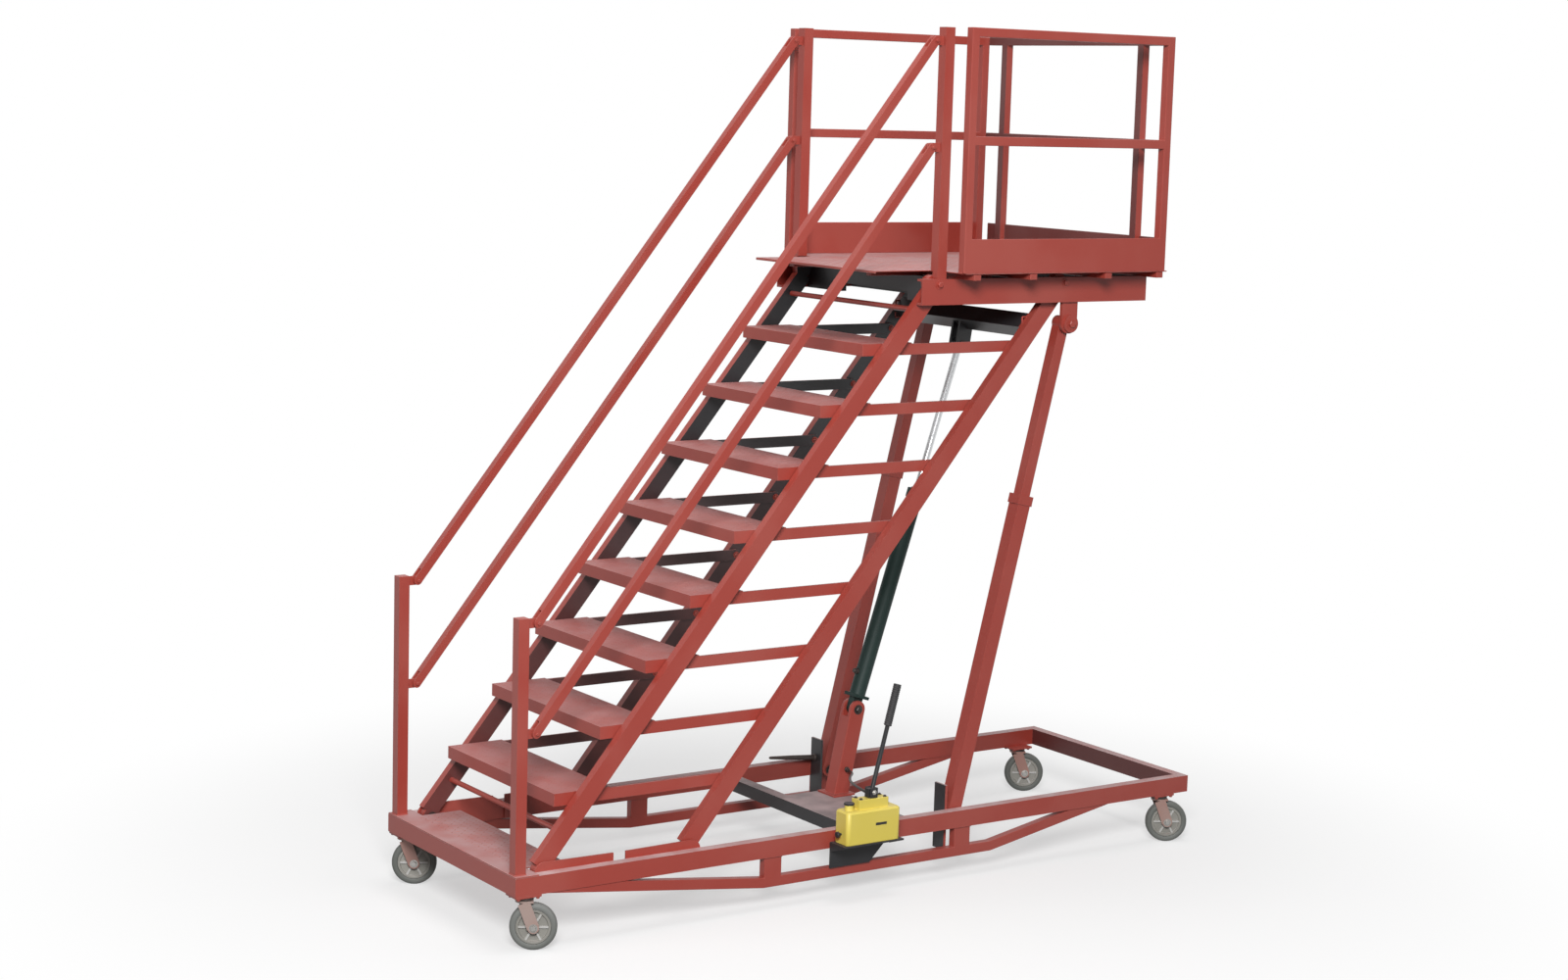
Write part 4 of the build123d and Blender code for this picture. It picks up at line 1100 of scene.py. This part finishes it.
class PLATFORM_OT_stage(bpy.types.Operator):
    """Set up the floor, the lights and the camera"""

    bl_idname = "platform.stage"
    bl_label = "Studio"

    CAMERA_PLACE = Vector((-7.1443, -10.1272, 3.5277))
    YAW = 0.9680
    TILT = -0.1428
    ROLL = -0.0294
    LENS = 62.58
    SENSOR = 36.0
    FAR_CLIP = 200
    SKY = 0.06
    FLOOR_SIZE = 60
    FLOOR_PALE = 0.92
    FLOOR_BOUNCE = 0.06
    FLOOR_WHITE = 0.55
    FLOOR_FADE = (1.6, 4.0)
    # Name, place, target, size in metres and power in watts
    LAMPS = (("key", (-6.8, -9.6, 7.3), (0, 0, 1.8), 4, 1700), ("top", (0.3, -0.5, 11), (0.3, 0, 0), 6, 420))

    def camera(self, context):
        data = bpy.data.cameras.new("photo_camera")
        data.lens = self.LENS
        data.sensor_width = self.SENSOR
        data.clip_end = self.FAR_CLIP
        camera = new_piece("photo_camera", data)
        level = math.cos(self.TILT)
        forward = Vector((level * math.cos(self.YAW), level * math.sin(self.YAW), math.sin(self.TILT)))
        right = Vector((math.sin(self.YAW), -math.cos(self.YAW), 0))
        up = right.cross(forward)
        cosine, sine = math.cos(self.ROLL), math.sin(self.ROLL)
        rolled_right = cosine * right - sine * up
        rolled_up = sine * right + cosine * up
        turn = Matrix((rolled_right, rolled_up, -forward)).transposed().to_4x4()
        camera.matrix_world = Matrix.Translation(self.CAMERA_PLACE) @ turn
        context.scene.camera = camera

    def floor(self):
        bm = bmesh.new()
        bmesh.ops.create_grid(bm, x_segments=1, y_segments=1, size=self.FLOOR_SIZE)
        mesh = bpy.data.meshes.new("floor")
        bm.to_mesh(mesh)
        bm.free()
        mesh.materials.append(self.floor_material())
        new_piece("floor", mesh)

    def floor_material(self):
        """Pale floor that keeps the shadow near the platform and fades to white around it."""
        material = bpy.data.materials.new("floor_pale")
        material.use_nodes = True
        tree = material.node_tree
        distance = add_node(tree, "ShaderNodeVectorMath", {"operation": "LENGTH"})
        feed(distance.inputs[0], add_node(tree, "ShaderNodeTexCoord").outputs["Object"])
        far = ramp_node(tree, distance.outputs["Value"], *self.FLOOR_FADE, self.FLOOR_WHITE)
        seen = seen_by_camera(tree)
        bounce, pale = (rgba([level] * 3) for level in (self.FLOOR_BOUNCE, self.FLOOR_PALE))
        shader = fill(tree.nodes["Principled BSDF"], Roughness=0.95,
                      Base_Color=mix_node(tree, seen, bounce, pale))
        white = add_node(tree, "ShaderNodeEmission", Strength=1.0)
        blend = add_node(tree, "ShaderNodeMixShader", Fac=math_node(tree, "MULTIPLY", far, seen))
        feed(blend.inputs[1], shader.outputs[0])
        feed(blend.inputs[2], white.outputs[0])
        fill(tree.nodes["Material Output"], Surface=blend.outputs[0])
        return material

    def world(self, context):
        world = bpy.data.worlds.new("studio")
        context.scene.world = world
        world.use_nodes = True
        tree = world.node_tree
        strength = math_node(tree, "MULTIPLY_ADD", seen_by_camera(tree), 1 - self.SKY, self.SKY)
        fill(tree.nodes["Background"], Color=(1, 1, 1, 1), Strength=strength)

    def lamp(self, name, place, target, size, power):
        data = bpy.data.lights.new(name, "AREA")
        data.shape = "DISK"
        data.size = size
        data.energy = power
        lamp = new_piece(name, data)
        lamp.matrix_world = facing_matrix(Vector(place), Vector(place) - Vector(target))

    def execute(self, context):
        context.scene.view_settings.view_transform = "Standard"
        self.camera(context)
        self.floor()
        self.world(context)
        for lamp in self.LAMPS:
            self.lamp(*lamp)
        return {"FINISHED"}


class PLATFORM_PT_panel(bpy.types.Panel):
    """Lists the steps that dress the platform"""

    bl_idname = "PLATFORM_PT_panel"
    bl_label = "Maintenance Platform"
    bl_space_type = "VIEW_3D"
    bl_region_type = "UI"
    bl_category = "Platform"

    def draw(self, context):
        for group in (context.scene.platform_finish, context.scene.platform_detail):
            for key in group.__annotations__:
                self.layout.prop(group, key)
        for operator in OPERATORS:
            self.layout.operator(operator.bl_idname)


OPERATORS = (PLATFORM_OT_stage, PLATFORM_OT_paint, PLATFORM_OT_lugs, PLATFORM_OT_fasteners,
             PLATFORM_OT_casters, PLATFORM_OT_pump, PLATFORM_OT_pipe, PLATFORM_OT_lock_pin,
             PLATFORM_OT_cylinder, PLATFORM_OT_welds)
CLASSES = (FinishSettings, DetailSettings) + OPERATORS + (PLATFORM_PT_panel,)


def register():
    for cls in CLASSES:
        bpy.utils.register_class(cls)
    bpy.types.Scene.platform_finish = bpy.props.PointerProperty(type=FinishSettings)
    bpy.types.Scene.platform_detail = bpy.props.PointerProperty(type=DetailSettings)


def unregister():
    del bpy.types.Scene.platform_detail
    del bpy.types.Scene.platform_finish
    for cls in reversed(CLASSES):
        bpy.utils.unregister_class(cls)


def main():
    register()
    bpy.ops.platform.stage()
    bpy.ops.platform.paint()
    bpy.ops.platform.lugs()
    bpy.ops.platform.fasteners()
    bpy.ops.platform.casters()
    bpy.ops.platform.pump()
    bpy.ops.platform.pipe()
    bpy.ops.platform.lock_pin()
    bpy.ops.platform.cylinder()
    bpy.ops.platform.welds()


if __name__ == "__main__":
    main()
